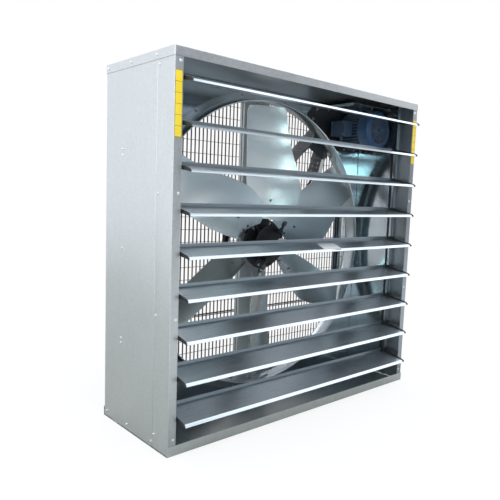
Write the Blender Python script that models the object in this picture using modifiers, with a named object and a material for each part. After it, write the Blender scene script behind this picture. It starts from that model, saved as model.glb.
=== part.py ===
# Belt-driven shutter exhaust fan: a square sheet-metal box with a louvre shutter in front,
# a six-blade impeller in a venturi ring, a motor in the upper right corner and a wire guard
# at the back. +X is to the right seen from the shutter, +Y runs from the shutter to the guard.
# The origin is the centre of the bottom face. Lengths are in metres.

import bpy
import bmesh
import math
from mathutils import Matrix, Vector

# Overall sizes of the box
BOX_WIDTH = 1.380
BOX_HEIGHT = 1.380
BOX_DEPTH = 0.480

# Sheet metal and fits
SHEET = 0.0015              # casing sheet
BEND_RADIUS = 0.003         # outside radius of a casing bend
BEND_SEGMENTS = 2
FIT_GAP = 0.0003            # between pieces that lie against each other
CUT_OVERRUN = 0.004         # how far a cutter runs past the face that it cuts
MERGE_DISTANCE = 0.00001    # corners nearer than this become one
HOLE_SIDES = 10

# Casing
CAP_SKIRT = 0.033           # how far the top cap's skirt hangs down
PAN_SKIRT = 0.037           # how far the bottom pan's front and rear walls stand up
FRONT_FLANGE = 0.034        # from the box's side to the inner edge of the front flange
REAR_FLANGE = 0.034
CHANNEL_DEPTH = 0.104       # shutter channel, from the box's front to its seam with the side panel
SEAM_RETURN = 0.012         # inward lips at that seam

# Orifice panel and venturi ring
PANEL_SETBACK = 0.130       # from the box's rear to the front face of the panel
PANEL_EDGE = 0.020          # lip turned back all round the panel
PANEL_HOLE_MARGIN = 0.022   # the panel's hole past the throat
RING_SHEET = 0.002
THROAT_RADIUS = 0.630
RING_FRONT_REACH = 0.055    # ring in front of the panel's face
RING_REAR_REACH = 0.040     # and behind it
RING_FLARE_START = 0.010    # where the mouth starts to open, in front of the panel's face
RING_FLARE = 0.035          # how far the rear mouth opens past the throat
RING_LIP_FLARE = 0.004
RING_LIP_LENGTH = 0.006
RING_FOOT_MARGIN = 0.020    # the ring's foot past the panel's hole
RING_FOOT_FILLET = 0.016
RING_STEPS = 48
FLARE_STEPS = 4

# Shutter
SLAT_COUNT = 9
SLAT_PITCH = 0.1448
SLAT_TOP_SPACE = 0.080      # from the box's top to the first pivot
SLAT_SETBACK = 0.092        # from the box's front to the pivots
SLAT_SHEET = 0.0012
SLAT_SIDE_SPACE = 0.0422    # between a slat's sheet and the side wall
SLAT_REACH = 0.124          # pivot to the front corner, level part
SLAT_DROP = 0.022           # how much lower than the pivot the front corner lies
SLAT_TAIL = 0.010           # pivot to the rear corner
SLAT_TAIL_DROP = 0.005
SLAT_REAR_LIP = 0.013
SLAT_FRONT_LIP_REACH = 0.009
SLAT_FRONT_LIP_DROP = 0.010
SLAT_CLOSING_ANGLE = math.radians(70)
END_CAP_THICKNESS = 0.004
END_CAP_MARGIN = 0.0035     # how far an end cap stands round the slat's section
STUB_RADIUS = 0.005
STUB_CLEARANCE = 0.0004
CRANK_RADIUS = 0.036        # slat pivot to link pin
LINK_PIN_RADIUS = 0.003
LINK_PIN_CLEARANCE = 0.0004
LINK_BAR_WIDTH = 0.012
LINK_BAR_THICKNESS = 0.003
LINK_BAR_SPACE = 0.014      # from the end of a slat's sheet to the inner face of the bar
LINK_BAR_END = 0.014        # bar past its last pin
CRANK_ARM_HALF_WIDTH = 0.0055
BRACKET_CRANK = 0.028       # slat pivot to the push rod's pin
BRACKET_PIN_RADIUS = 0.0025
BRACKET_SHEET = 0.002
BRACKET_HALF_SPAN = 0.016
BRACKET_FOOT = 0.022        # bracket's foot along the slat's underside
BRACKET_CHEEK_HALF_WIDTH = 0.006

# Rear guard, drawn coarser than the real wires
GUARD_THICKNESS = 0.003
GUARD_WIRE = 0.004
GUARD_RAIL = 0.006
GUARD_COLUMNS = 16
GUARD_ROWS = 4
GUARD_BORDER = 0.010

# Posts and bearing housing
POST_WIDTH = 0.068
POST_DEPTH = 0.030
POST_SHEET = 0.002
POST_LIP = 0.012
POST_SPACING = 0.012        # gap between the two posts
POST_RING_GAP = 0.003       # between the ring and the posts
HOUSING_RADIUS = 0.030
HOUSING_BORE = 0.0258
HOUSING_FRONT_REACH = 0.0255    # in front of the posts
HOUSING_LENGTH = 0.058
HOUSING_FLANGE_RADIUS = 0.060
HOUSING_FLANGE_THICKNESS = 0.008
HOUSING_CLEARANCE = 0.001   # between the housing and the notch in the posts
BEARING_WIDTH = 0.015
TURN_STEPS = 24
HUB_STEPS = 36

# Impeller
SHAFT_RADIUS = 0.0125
SHAFT_FRONT_REACH = 0.098   # in front of the panel's face
SHAFT_REAR_REACH = 0.1025   # and behind it
ROD_BORE_DEPTH = 0.063
HUB_BOSS_RADIUS = 0.040
HUB_FRONT_REACH = 0.070     # in front of the panel's face
HUB_HOUSING_GAP = 0.001     # between the hub and the bearing housing
HUB_DISC_RADIUS = 0.112
HUB_DISC_THICKNESS = 0.008
HUB_DISC_REACH = 0.034      # from the panel's face forward to the disc
NUT_RADIUS = 0.020
NUT_LENGTH = 0.018
NUT_SIDES = 6
BLADE_COUNT = 6
BLADE_FIRST_PHASE = math.radians(32)
BLADE_SHEET = 0.002
BLADE_REACH = 0.025         # from the panel's face forward to the blades' spokes
BLADE_ROOT_RADIUS = 0.115
BLADE_TIP_GAP = 0.012       # between the blades and the throat
BLADE_CHORD = 0.260
BLADE_CAMBER = 0.012
BLADE_COLUMNS = 6
ARM_INNER_RADIUS = 0.085
ARM_ROWS = 2                # rows of the blade table that the arms reach past the root
ARM_COLUMNS = (2, 4)        # first and last column of the blade's grid that an arm backs
ARM_SHEET = 0.005
ARM_SEAT_GAP = 0.0006       # along the axis, between an arm and its blade

# Radius from root to tip, then the chord ahead of and behind the spoke, as shares,
# and the pitch in degrees
BLADE_SHARES = (
    (0.00, 0.170, 0.300, 40.0),
    (0.05, 0.215, 0.415, 39.0),
    (0.22, 0.270, 0.640, 34.0),
    (0.37, 0.296, 0.690, 30.0),
    (0.66, 0.296, 0.520, 25.0),
    (0.84, 0.296, 0.445, 23.0),
    (0.965, 0.292, 0.425, 22.0),
    (1.00, 0.258, 0.385, 21.5),
)

# Belt drive
BELT_POST_SPACE = 0.016     # from the posts' rear to the middle of the belt
BELT_WIDTH = 0.011
BELT_THICKNESS = 0.008
BELT_CLEARANCE = 0.0005     # between the belt and a groove's flank and floor
PULLEY_RIM = 0.0045         # rim on each side of the groove
DRIVEN_PITCH_RADIUS = 0.134
MOTOR_PITCH_RADIUS = 0.0418
PULLEY_GROOVE_FLARE = 0.0012
PULLEY_WEB = 0.006
PULLEY_RIM_DEPTH = 0.016
PULLEY_HUB_RADIUS = 0.026
PULLEY_STEPS = 32
BELT_ARC_STEPS = 12
GUARD_STRIP_SHEET = 0.0015
GUARD_STRIP_RADIUS = 0.106  # round the motor pulley
GUARD_STRIP_SPREAD = 0.010  # how much wider the long wall stands at its free end
GUARD_STRIP_RUN = 0.420     # long wall, from the motor towards the impeller
GUARD_STRIP_SHORT_RUN = 0.030
GUARD_STRIP_DEPTH = 0.120   # walls behind the panel's face
GUARD_STRIP_INNER_START = 0.020 # the same inside the throat, where the blades pass
GUARD_STRIP_RING_GAP = 0.003
GUARD_STRIP_ARC_STEPS = 12
INNER_WALL_START = (0.100, 0.031)   # along the drive from the motor axis, then beside it
INNER_WALL_END = (0.275, -0.059)
GUARD_WEB_START = 0.060     # web between the two walls, along the drive
GUARD_WEB_LONG_END = 0.235  # its end on the long wall
GUARD_WEB_SHORT_END = 0.190 # its end on the inner wall

# Motor
MOTOR_SIDE_SPACE = 0.119    # from the box's side to the motor's axis
MOTOR_TOP_SPACE = 0.130     # from the box's top to the motor's axis
MOTOR_RADIUS = 0.090
MOTOR_LENGTH = 0.162
MOTOR_PANEL_SPACE = 0.018   # between the motor and the panel
MOTOR_BORE_DEPTH = 0.030
MOTOR_NOSE_RADIUS = 0.045
MOTOR_NOSE_LENGTH = 0.010
MOTOR_SHAFT_RADIUS = 0.012
COVER_LENGTH = 0.064
COVER_OVERLAP = 0.030       # cover over the motor's body
COVER_SHEET = 0.0015
COVER_CORNER = 0.014
FOOT_HALF_WIDTH = 0.050
FOOT_LENGTH = 0.080
FOOT_PLACE = 0.090          # foot's middle behind the motor's front
TERMINAL_BOX_REACH = 0.060
TERMINAL_BOX_HEIGHT = 0.074
TERMINAL_BOX_LENGTH = 0.090
TERMINAL_BOX_PLACE = 0.105  # its middle behind the motor's front
TERMINAL_BOX_BEVEL = 0.004
PLATE_THICKNESS = 0.003
PLATE_LEFT_REACH = 0.286    # motor plate, from the motor's axis
PLATE_RIGHT_REACH = 0.089
PLATE_TOP_REACH = 0.112
PLATE_BOTTOM_REACH = 0.100
PLATE_CORNER_CUT = 0.045
SHAFT_HOLE_RADIUS = 0.030
SHELF_SPACE = 0.015         # between the motor's outside and the shelf
SHELF_SHEET = 0.002
SHELF_LEFT_REACH = 0.201
SHELF_RIGHT_REACH = 0.089
SHELF_DEPTH = 0.210         # in front of the panel's face
SHELF_LIP = 0.014

# Centrifugal shutter opener
ROD_RADIUS = 0.005
ROD_CLEARANCE = 0.0005
ROD_INSERTION = 0.018       # rod inside the shaft's bore
ROD_HEAD_WALL = 0.0022
ROD_HEAD_HALF_WIDTH = 0.007
ROD_SLOT_CLEARANCE = 0.0016
COLLAR_RADIUS = 0.036
COLLAR_THICKNESS = 0.006
COLLAR_SPACE = 0.047        # from the shaft's end to the thrust collar
GOVERNOR_RADIUS = 0.085
GOVERNOR_THICKNESS = 0.004
LEVER_PIVOT_RADIUS = 0.072
LEVER_TOE_LENGTH = 0.062
LEVER_TOE_GAP = 0.0010      # between a toe and the thrust collar
LEVER_TOE_END_ANGLE = math.radians(6)   # a toe's lean to the front with the shutter shut
LEVER_HALF_WIDTH = 0.003
LEVER_THICKNESS = 0.008
LEVER_PIN_RADIUS = 0.003
LEVER_PIN_HALF_LENGTH = 0.0105
LEVER_PIN_CLEARANCE = 0.0004
LEVER_PHASES = (math.radians(58), math.radians(238))
WEIGHT_REACH = 0.040
WEIGHT_LENGTH = 0.022
WEIGHT_HALF_HEIGHT = 0.010
EAR_THICKNESS = 0.003
EAR_GAP = 0.0006
EAR_HALF_WIDTH = 0.007
EAR_TOP = 0.007
SPRING_RADIUS = 0.0085
SPRING_WIRE_RADIUS = 0.0011
SPRING_CURLS = 12
SPRING_POINTS_PER_CURL = 8
SPRING_END_GAP = 0.0004

# Places worked out from the sizes above
AXIS_Z = BOX_HEIGHT / 2
WALL_X = BOX_WIDTH / 2 - SHEET - FIT_GAP
WALL_INNER_X = WALL_X - SHEET
FLANGE_FRONT_Y = -BOX_DEPTH / 2 + SHEET + FIT_GAP
FLANGE_REAR_Y = BOX_DEPTH / 2 - SHEET - FIT_GAP
WALL_BOTTOM_Z = BEND_RADIUS + FIT_GAP
WALL_TOP_Z = BOX_HEIGHT - BEND_RADIUS - FIT_GAP
FLOOR_Z = SHEET + FIT_GAP
CEILING_Z = BOX_HEIGHT - SHEET - FIT_GAP
SEAM_Y = CHANNEL_DEPTH - BOX_DEPTH / 2
PANEL_Y = BOX_DEPTH / 2 - PANEL_SETBACK
PANEL_HOLE_RADIUS = THROAT_RADIUS + PANEL_HOLE_MARGIN
RING_FOOT_RADIUS = PANEL_HOLE_RADIUS + RING_FOOT_MARGIN
RING_FRONT_Y = PANEL_Y - RING_FRONT_REACH
RING_REAR_Y = PANEL_Y + RING_REAR_REACH
RING_STRAIGHT_END_Y = PANEL_Y - RING_FLARE_START
SLAT_TOP_PIVOT_Z = BOX_HEIGHT - SLAT_TOP_SPACE
SLAT_PIVOT_Y = SLAT_SETBACK - BOX_DEPTH / 2
SLAT_HALF_LENGTH = WALL_INNER_X - SLAT_SIDE_SPACE
LINK_BAR_X = SLAT_HALF_LENGTH + LINK_BAR_SPACE
POST_FRONT_Y = RING_REAR_Y + POST_RING_GAP
HOUSING_FRONT_Y = POST_FRONT_Y - HOUSING_FRONT_REACH
SHAFT_FRONT_Y = PANEL_Y - SHAFT_FRONT_REACH
SHAFT_REAR_Y = PANEL_Y + SHAFT_REAR_REACH
HUB_FRONT_Y = PANEL_Y - HUB_FRONT_REACH
HUB_REAR_Y = HOUSING_FRONT_Y - HUB_HOUSING_GAP
HUB_DISC_Y = PANEL_Y - HUB_DISC_REACH
BLADE_Y = PANEL_Y - BLADE_REACH
BLADE_TIP_RADIUS = THROAT_RADIUS - BLADE_TIP_GAP
BELT_Y = POST_FRONT_Y + POST_DEPTH + BELT_POST_SPACE
GUARD_STRIP_REAR_Y = PANEL_Y + GUARD_STRIP_DEPTH
GUARD_STRIP_INNER_Y = PANEL_Y + GUARD_STRIP_INNER_START
MOTOR_X = BOX_WIDTH / 2 - MOTOR_SIDE_SPACE
MOTOR_Z = BOX_HEIGHT - MOTOR_TOP_SPACE
MOTOR_REAR_Y = PANEL_Y - MOTOR_PANEL_SPACE
MOTOR_FRONT_Y = MOTOR_REAR_Y - MOTOR_LENGTH
COVER_REAR_Y = MOTOR_FRONT_Y + COVER_OVERLAP
COVER_FRONT_Y = COVER_REAR_Y - COVER_LENGTH
FOOT_Y = MOTOR_FRONT_Y + FOOT_PLACE
TERMINAL_BOX_Y = MOTOR_FRONT_Y + TERMINAL_BOX_PLACE
PLATE_LEFT_X = MOTOR_X - PLATE_LEFT_REACH
PLATE_RIGHT_X = MOTOR_X + PLATE_RIGHT_REACH
PLATE_TOP_Z = MOTOR_Z + PLATE_TOP_REACH
PLATE_BOTTOM_Z = MOTOR_Z - PLATE_BOTTOM_REACH
SHELF_Z = MOTOR_Z + MOTOR_RADIUS + SHELF_SPACE
SHELF_LEFT_X = MOTOR_X - SHELF_LEFT_REACH
SHELF_RIGHT_X = MOTOR_X + SHELF_RIGHT_REACH
SHELF_FRONT_Y = PANEL_Y - SHELF_DEPTH
ROD_REAR_Y = SHAFT_FRONT_Y + ROD_INSERTION
COLLAR_REAR_Y = SHAFT_FRONT_Y - COLLAR_SPACE
CRANK_REST_ANGLE = SLAT_CLOSING_ANGLE / 2
ROD_TRAVEL = 2 * BRACKET_CRANK * math.sin(CRANK_REST_ANGLE)
LEVER_TOE_ANGLE = math.asin(math.sin(LEVER_TOE_END_ANGLE) + ROD_TRAVEL / LEVER_TOE_LENGTH)
LEVER_PIVOT_Y = COLLAR_REAR_Y + LEVER_TOE_LENGTH * math.sin(LEVER_TOE_ANGLE) \
    + LEVER_HALF_WIDTH + LEVER_TOE_GAP

assemblyName = "shutter_exhaust_fan"


# Scene and materials

def clear_scene():
    for item in list(bpy.data.objects):
        bpy.data.objects.remove(item, do_unlink=True)


def new_collection(name):
    group = bpy.data.collections.new(name)
    bpy.context.scene.collection.children.link(group)
    return group


def new_material(name, colour, roughness, metallic):
    material = bpy.data.materials.new(name)
    material.use_nodes = True
    shader = material.node_tree.nodes["Principled BSDF"]
    shader.inputs["Base Color"].default_value = (*colour, 1)
    shader.inputs["Roughness"].default_value = roughness
    shader.inputs["Metallic"].default_value = metallic
    return material


clear_scene()
partsGroup = new_collection(assemblyName)
cuttersGroup = new_collection("cutters")


# Shape helpers

def add_object(name, data, material, group=None):
    item = bpy.data.objects.new(name, data)
    (group or partsGroup).objects.link(item)
    if material is not None:
        data.materials.append(material)
    return item


def mesh_object(name, shape, material, group=None, smooth=False):
    mesh = bpy.data.meshes.new(name)
    shape.to_mesh(mesh)
    shape.free()
    if smooth:
        mesh.shade_smooth()
        mesh.set_sharp_from_angle(angle=math.radians(35))
    return add_object(name, mesh, material, group)


def as_helper(item):
    item.hide_render = True
    item.display_type = 'WIRE'
    return item


def helper_object(name, shape):
    return as_helper(mesh_object(name, shape, None, cuttersGroup))


def add_box(shape, low, high):
    low, high = Vector(low), Vector(high)
    centre = (low + high) / 2
    size = high - low
    placed = Matrix.Translation(centre) @ Matrix.Diagonal((*size, 1))
    return bmesh.ops.create_cube(shape, size=1, matrix=placed)["verts"]


def add_rod(shape, start, end, radius, sides):
    start, end = Vector(start), Vector(end)
    run = end - start
    turn = run.to_track_quat('Z', 'Y').to_matrix().to_4x4()
    placed = Matrix.Translation((start + end) / 2) @ turn
    bmesh.ops.create_cone(shape, cap_ends=True, segments=sides, radius1=radius, radius2=radius,
                          depth=run.length, matrix=placed)


def boolean(item, tool, operation):
    modifier = item.modifiers.new(operation.lower(), 'BOOLEAN')
    modifier.operation = operation
    modifier.object = tool
    modifier.solver = 'EXACT'
    return modifier


def add_solidify(item, thickness, offset):
    modifier = item.modifiers.new("sheet", 'SOLIDIFY')
    modifier.thickness = thickness
    modifier.offset = offset
    modifier.use_even_offset = True
    return modifier


def add_bevel(item, width, segments):
    modifier = item.modifiers.new("bends", 'BEVEL')
    modifier.width = width
    modifier.segments = segments
    modifier.limit_method = 'ANGLE'
    modifier.angle_limit = math.radians(30)
    return modifier


def freeze(item):
    # replaces an object's data by its evaluated mesh, so that it can be cut, joined or copied
    graph = bpy.context.evaluated_depsgraph_get()
    mesh = bpy.data.meshes.new_from_object(item.evaluated_get(graph))
    shape = bmesh.new()
    shape.from_mesh(mesh)
    bmesh.ops.remove_doubles(shape, verts=shape.verts, dist=MERGE_DISTANCE)
    shape.to_mesh(mesh)
    shape.free()
    name, place, groups = item.name, item.matrix_world.copy(), list(item.users_collection)
    bpy.data.objects.remove(item, do_unlink=True)
    solid = bpy.data.objects.new(name, mesh)
    groups[0].objects.link(solid)
    solid.matrix_world = place
    return solid


def tray(name, low, high, missing, material):
    # a box of sheet whose faces with a normal listed in missing are left out
    shape = bmesh.new()
    add_box(shape, low, high)
    gone = [face for face in shape.faces
            if any(face.normal.dot(Vector(side)) > 0.9 for side in missing)]
    bmesh.ops.delete(shape, geom=gone, context='FACES')
    item = mesh_object(name, shape, material, smooth=True)
    add_bevel(item, BEND_RADIUS, BEND_SEGMENTS)
    add_solidify(item, SHEET, -1)
    return item


def folded_sheet(name, path, start, end, thickness, towards, material, bend):
    # a path of points drawn out from start to end, folded edges rounded, then given its wall
    # on the side where the point towards lies
    shape = bmesh.new()
    points = [shape.verts.new(Vector(point) + Vector(start)) for point in path]
    edges = [shape.edges.new(pair) for pair in zip(points, points[1:])]
    drawn = bmesh.ops.extrude_edge_only(shape, edges=edges)["geom"]
    moved = [part for part in drawn if isinstance(part, bmesh.types.BMVert)]
    bmesh.ops.translate(shape, verts=moved, vec=Vector(end) - Vector(start))
    item = mesh_object(name, shape, material, smooth=True)
    if bend > 0:
        add_bevel(item, bend, BEND_SEGMENTS)
    sides = [face.normal.dot((Vector(towards) - face.center).normalized())
             for face in item.data.polygons]
    add_solidify(item, thickness, math.copysign(1, max(sides, key=abs)))
    return item


def turned(name, profile, centre, steps, material, group=None):
    # profile holds (radius, y) pairs, outer side from rear to front, turned about the Y axis;
    # no edge is drawn along the axis itself
    mesh = bpy.data.meshes.new(name)
    points = [(radius, 0, y) for radius, y in profile]
    after = points[1:] + points[:1]
    edges = [(i, (i + 1) % len(points)) for i, (point, following) in enumerate(zip(points, after))
             if point[0] > 0 or following[0] > 0]
    mesh.from_pydata(points, edges, [])
    item = add_object(name, mesh, material, group)
    item.location = centre
    item.rotation_euler = (-math.pi / 2, 0, 0)
    screw = item.modifiers.new("turn", 'SCREW')
    screw.steps = steps
    screw.render_steps = steps
    screw.use_merge_vertices = True
    screw.merge_threshold = MERGE_DISTANCE
    screw.use_smooth_shade = False
    return item


def flat_outline(name, outlines, thickness, material):
    # closed outlines in the local XY plane, filled and drawn out along local Z
    curve = bpy.data.curves.new(name, 'CURVE')
    curve.dimensions = '2D'
    curve.fill_mode = 'BOTH'
    curve.extrude = thickness / 2
    for outline in outlines:
        spline = curve.splines.new('POLY')
        spline.points.add(len(outline) - 1)
        for point, (x, y) in zip(spline.points, outline):
            point.co = (x, y, 0, 1)
        spline.use_cyclic_u = True
    return add_object(name, curve, material)


def circle_points(centre, radius, sides):
    return [(centre[0] + radius * math.cos(2 * math.pi * i / sides),
             centre[1] + radius * math.sin(2 * math.pi * i / sides)) for i in range(sides)]


# Casing: top cap, bottom pan, shutter channels and side panels

galvanised = new_material("galvanised_sheet", (0.62, 0.65, 0.66), 0.38, 0.85)
brightSheet = new_material("bright_galvanised", (0.55, 0.60, 0.62), 0.25, 0.95)
slatSheet = new_material("slat_sheet", (0.60, 0.63, 0.66), 0.35, 0.85)
blackPlastic = new_material("black_plastic", (0.015, 0.016, 0.018), 0.45, 0.0)
blackPaint = new_material("black_paint", (0.012, 0.013, 0.015), 0.40, 0.0)
darkWire = new_material("dark_wire", (0.045, 0.035, 0.032), 0.45, 0.2)
navyPaint = new_material("navy_paint", (0.012, 0.032, 0.085), 0.40, 0.0)
castIron = new_material("cast_iron", (0.03, 0.032, 0.035), 0.55, 0.6)
brightSteel = new_material("bright_steel", (0.55, 0.56, 0.57), 0.28, 1.0)
rubber = new_material("belt_rubber", (0.012, 0.012, 0.012), 0.75, 0.0)


def make_caps():
    half = Vector((BOX_WIDTH / 2, BOX_DEPTH / 2, 0))
    top = Vector((0, 0, BOX_HEIGHT))
    skirt = Vector((0, 0, CAP_SKIRT))
    tray("top_cap", -half + top - skirt, half + top, [(0, 0, -1)], galvanised)
    wall = Vector((0, 0, PAN_SKIRT))
    tray("bottom_pan", -half, half + wall, [(0, 0, 1), (1, 0, 0), (-1, 0, 0)], galvanised)


def make_sides():
    flangeX = BOX_WIDTH / 2 - FRONT_FLANGE
    rearFlangeX = BOX_WIDTH / 2 - REAR_FLANGE
    channelEdge = SEAM_Y - FIT_GAP / 2
    panelEdge = SEAM_Y + FIT_GAP / 2
    channel = [(WALL_X - SEAM_RETURN, channelEdge, 0), (WALL_X, channelEdge, 0),
               (WALL_X, FLANGE_FRONT_Y, 0), (flangeX, FLANGE_FRONT_Y, 0)]
    panel = [(WALL_X - SEAM_RETURN, panelEdge, 0), (WALL_X, panelEdge, 0),
             (WALL_X, FLANGE_REAR_Y, 0), (rearFlangeX, FLANGE_REAR_Y, 0)]
    bottom, top = (0, 0, WALL_BOTTOM_Z), (0, 0, WALL_TOP_Z)
    inside = (0, 0, AXIS_Z)
    for side, label in ((-1, "left"), (1, "right")):
        mirrored = [(side * x, y, z) for x, y, z in channel]
        web = folded_sheet(label + "_shutter_channel", mirrored, bottom, top, SHEET, inside,
                           galvanised, BEND_RADIUS)
        boolean(web, stub_cutter(label, side), 'DIFFERENCE')
        mirrored = [(side * x, y, z) for x, y, z in panel]
        folded_sheet(label + "_side_panel", mirrored, bottom, top, SHEET, inside,
                     galvanised, BEND_RADIUS)


def slat_pivot_z(index):
    return SLAT_TOP_PIVOT_Z - SLAT_PITCH * index


def stub_cutter(label, side):
    shape = bmesh.new()
    for index in range(SLAT_COUNT):
        z = slat_pivot_z(index)
        add_rod(shape, (side * (WALL_INNER_X - CUT_OVERRUN), SLAT_PIVOT_Y, z),
                (side * (WALL_X + CUT_OVERRUN), SLAT_PIVOT_Y, z),
                STUB_RADIUS + STUB_CLEARANCE, HOLE_SIDES)
    return helper_object(label + "_stub_holes", shape)


# Orifice panel, venturi ring and rear guard

def make_orifice_panel():
    low = (-WALL_INNER_X + FIT_GAP, PANEL_Y, FLOOR_Z)
    high = (WALL_INNER_X - FIT_GAP, PANEL_Y + PANEL_EDGE, CEILING_Z)
    panel = tray("orifice_panel", low, high, [(0, 1, 0)], galvanised)
    shape = bmesh.new()
    add_rod(shape, (0, PANEL_Y - CUT_OVERRUN, AXIS_Z),
            (0, PANEL_Y + SHEET + CUT_OVERRUN, AXIS_Z), PANEL_HOLE_RADIUS, RING_STEPS)
    boolean(panel, helper_object("panel_opening", shape), 'DIFFERENCE')
    shape = bmesh.new()
    add_rod(shape, (MOTOR_X, PANEL_Y - CUT_OVERRUN, MOTOR_Z),
            (MOTOR_X, PANEL_Y + SHEET + CUT_OVERRUN, MOTOR_Z), SHAFT_HOLE_RADIUS, 2 * HOLE_SIDES)
    boolean(panel, helper_object("panel_shaft_hole", shape), 'DIFFERENCE')


def ring_profile():
    # one closed section: lip, throat and flare on the inside, then back along the outside
    # with a foot that lies on the orifice panel
    outside = THROAT_RADIUS + RING_SHEET
    footRear = PANEL_Y - FIT_GAP
    footFront = footRear - RING_SHEET
    flareLength = RING_REAR_Y - RING_STRAIGHT_END_Y
    angles = [math.pi / 2 * i / FLARE_STEPS for i in range(FLARE_STEPS + 1)]
    inner = [(THROAT_RADIUS + RING_FLARE * (1 - math.cos(a)),
              RING_STRAIGHT_END_Y + flareLength * math.sin(a)) for a in angles]
    outer = [(outside + (RING_FLARE - RING_SHEET) * (1 - math.cos(a)),
              RING_STRAIGHT_END_Y + (flareLength - RING_SHEET) * math.sin(a)) for a in angles]
    fillet = [(outside + RING_FOOT_FILLET * (1 - math.cos(a)),
               footFront - RING_FOOT_FILLET * (1 - math.sin(a))) for a in angles]
    behind = [point for point in outer if point[1] > footRear + RING_SHEET]
    section = list(reversed(behind))
    section += [(outside + RING_SHEET / 2, footRear), (RING_FOOT_RADIUS, footRear),
                (RING_FOOT_RADIUS, footFront)]
    section += list(reversed(fillet))
    section += [(outside, RING_FRONT_Y + RING_LIP_LENGTH),
                (outside + RING_LIP_FLARE, RING_FRONT_Y),
                (THROAT_RADIUS + RING_LIP_FLARE, RING_FRONT_Y),
                (THROAT_RADIUS, RING_FRONT_Y + RING_LIP_LENGTH)]
    return section + inner


def make_ring():
    turned("venturi_ring", ring_profile(), (0, 0, AXIS_Z), RING_STEPS, brightSheet)


def make_guard():
    halfX = WALL_INNER_X - BEND_RADIUS
    low, high = WALL_BOTTOM_Z, WALL_TOP_Z
    outline = [(-halfX, low), (halfX, low), (halfX, high), (-halfX, high)]
    stepX = (2 * halfX - 2 * GUARD_BORDER + GUARD_WIRE) / GUARD_COLUMNS
    stepZ = (high - low - 2 * GUARD_BORDER + GUARD_RAIL) / GUARD_ROWS
    holes = []
    for column in range(GUARD_COLUMNS):
        left = -halfX + GUARD_BORDER + stepX * column
        right = left + stepX - GUARD_WIRE
        for row in range(GUARD_ROWS):
            base = low + GUARD_BORDER + stepZ * row
            top = base + stepZ - GUARD_RAIL
            holes.append([(left, base), (left, top), (right, top), (right, base)])
    guard = flat_outline("rear_guard", [outline] + holes, GUARD_THICKNESS, darkWire)
    guard.rotation_euler = (math.pi / 2, 0, 0)
    guard.location = (0, FLANGE_REAR_Y - SHEET - FIT_GAP - GUARD_THICKNESS / 2, 0)


# Posts, bearing housing and bearings

def make_posts():
    inner, outer = POST_SPACING / 2, POST_SPACING / 2 + POST_WIDTH
    rear = POST_FRONT_Y + POST_DEPTH
    path = [(outer, POST_FRONT_Y + POST_LIP, 0), (outer, POST_FRONT_Y, 0),
            (inner, POST_FRONT_Y, 0), (inner, rear, 0), (outer, rear, 0), (outer, rear - POST_LIP, 0)]
    shape = bmesh.new()
    add_rod(shape, (0, POST_FRONT_Y - CUT_OVERRUN, AXIS_Z), (0, rear + CUT_OVERRUN, AXIS_Z),
            HOUSING_RADIUS + HOUSING_CLEARANCE, TURN_STEPS)
    notch = helper_object("post_notch", shape)
    for side, label in ((-1, "left_post"), (1, "right_post")):
        mirrored = [(side * x, y, z) for x, y, z in path]
        post = folded_sheet(label, mirrored, (0, 0, FLOOR_Z), (0, 0, CEILING_Z), POST_SHEET,
                            (side * (inner + outer) / 2, POST_FRONT_Y + POST_DEPTH / 2, AXIS_Z),
                            galvanised, 0)
        boolean(post, notch, 'DIFFERENCE')


def tube_profile(inner, outer, front, rear):
    return [(outer, rear), (outer, front), (inner, front), (inner, rear)]


def make_bearings():
    centre = (0, 0, AXIS_Z)
    rear = HOUSING_FRONT_Y + HOUSING_LENGTH
    flangeRear = POST_FRONT_Y - FIT_GAP
    flangeFront = flangeRear - HOUSING_FLANGE_THICKNESS
    profile = [(HOUSING_RADIUS, rear), (HOUSING_RADIUS, flangeRear),
               (HOUSING_FLANGE_RADIUS, flangeRear), (HOUSING_FLANGE_RADIUS, flangeFront),
               (HOUSING_RADIUS, flangeFront), (HOUSING_RADIUS, HOUSING_FRONT_Y),
               (HOUSING_BORE, HOUSING_FRONT_Y), (HOUSING_BORE, rear)]
    turned("bearing_housing", profile, centre, TURN_STEPS, castIron)
    inner, outer = SHAFT_RADIUS + FIT_GAP, HOUSING_BORE - FIT_GAP
    for name, front in (("front_bearing", HOUSING_FRONT_Y), ("rear_bearing", rear - BEARING_WIDTH)):
        turned(name, tube_profile(inner, outer, front, front + BEARING_WIDTH), centre, TURN_STEPS,
               brightSteel)


# Impeller: shaft, nut, hub with its arms, blades

def make_shaft():
    centre = (0, 0, AXIS_Z)
    bore = ROD_RADIUS + ROD_CLEARANCE
    boreEnd = SHAFT_FRONT_Y + ROD_BORE_DEPTH
    profile = [(0, SHAFT_REAR_Y), (SHAFT_RADIUS, SHAFT_REAR_Y), (SHAFT_RADIUS, SHAFT_FRONT_Y),
               (bore, SHAFT_FRONT_Y), (bore, boreEnd), (0, boreEnd)]
    turned("impeller_shaft", profile, centre, TURN_STEPS, brightSteel)
    plateFront = HUB_FRONT_Y - FIT_GAP - GOVERNOR_THICKNESS
    nutRear = plateFront - FIT_GAP
    outlines = [circle_points((0, 0), NUT_RADIUS, NUT_SIDES),
                circle_points((0, 0), SHAFT_RADIUS + 2 * FIT_GAP, TURN_STEPS)]
    nut = flat_outline("shaft_nut", outlines, NUT_LENGTH, brightSteel)
    nut.rotation_euler = (math.pi / 2, 0, 0)
    nut.location = (0, nutRear - NUT_LENGTH / 2, AXIS_Z)


def blade_row(radius):
    share = (radius - BLADE_ROOT_RADIUS) / (BLADE_TIP_RADIUS - BLADE_ROOT_RADIUS)
    rows = BLADE_SHARES
    for low, high in zip(rows, rows[1:]):
        if share <= high[0] or high is rows[-1]:
            blend = (share - low[0]) / (high[0] - low[0])
            return [a + (b - a) * blend for a, b in zip(low[1:], high[1:])]


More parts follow.
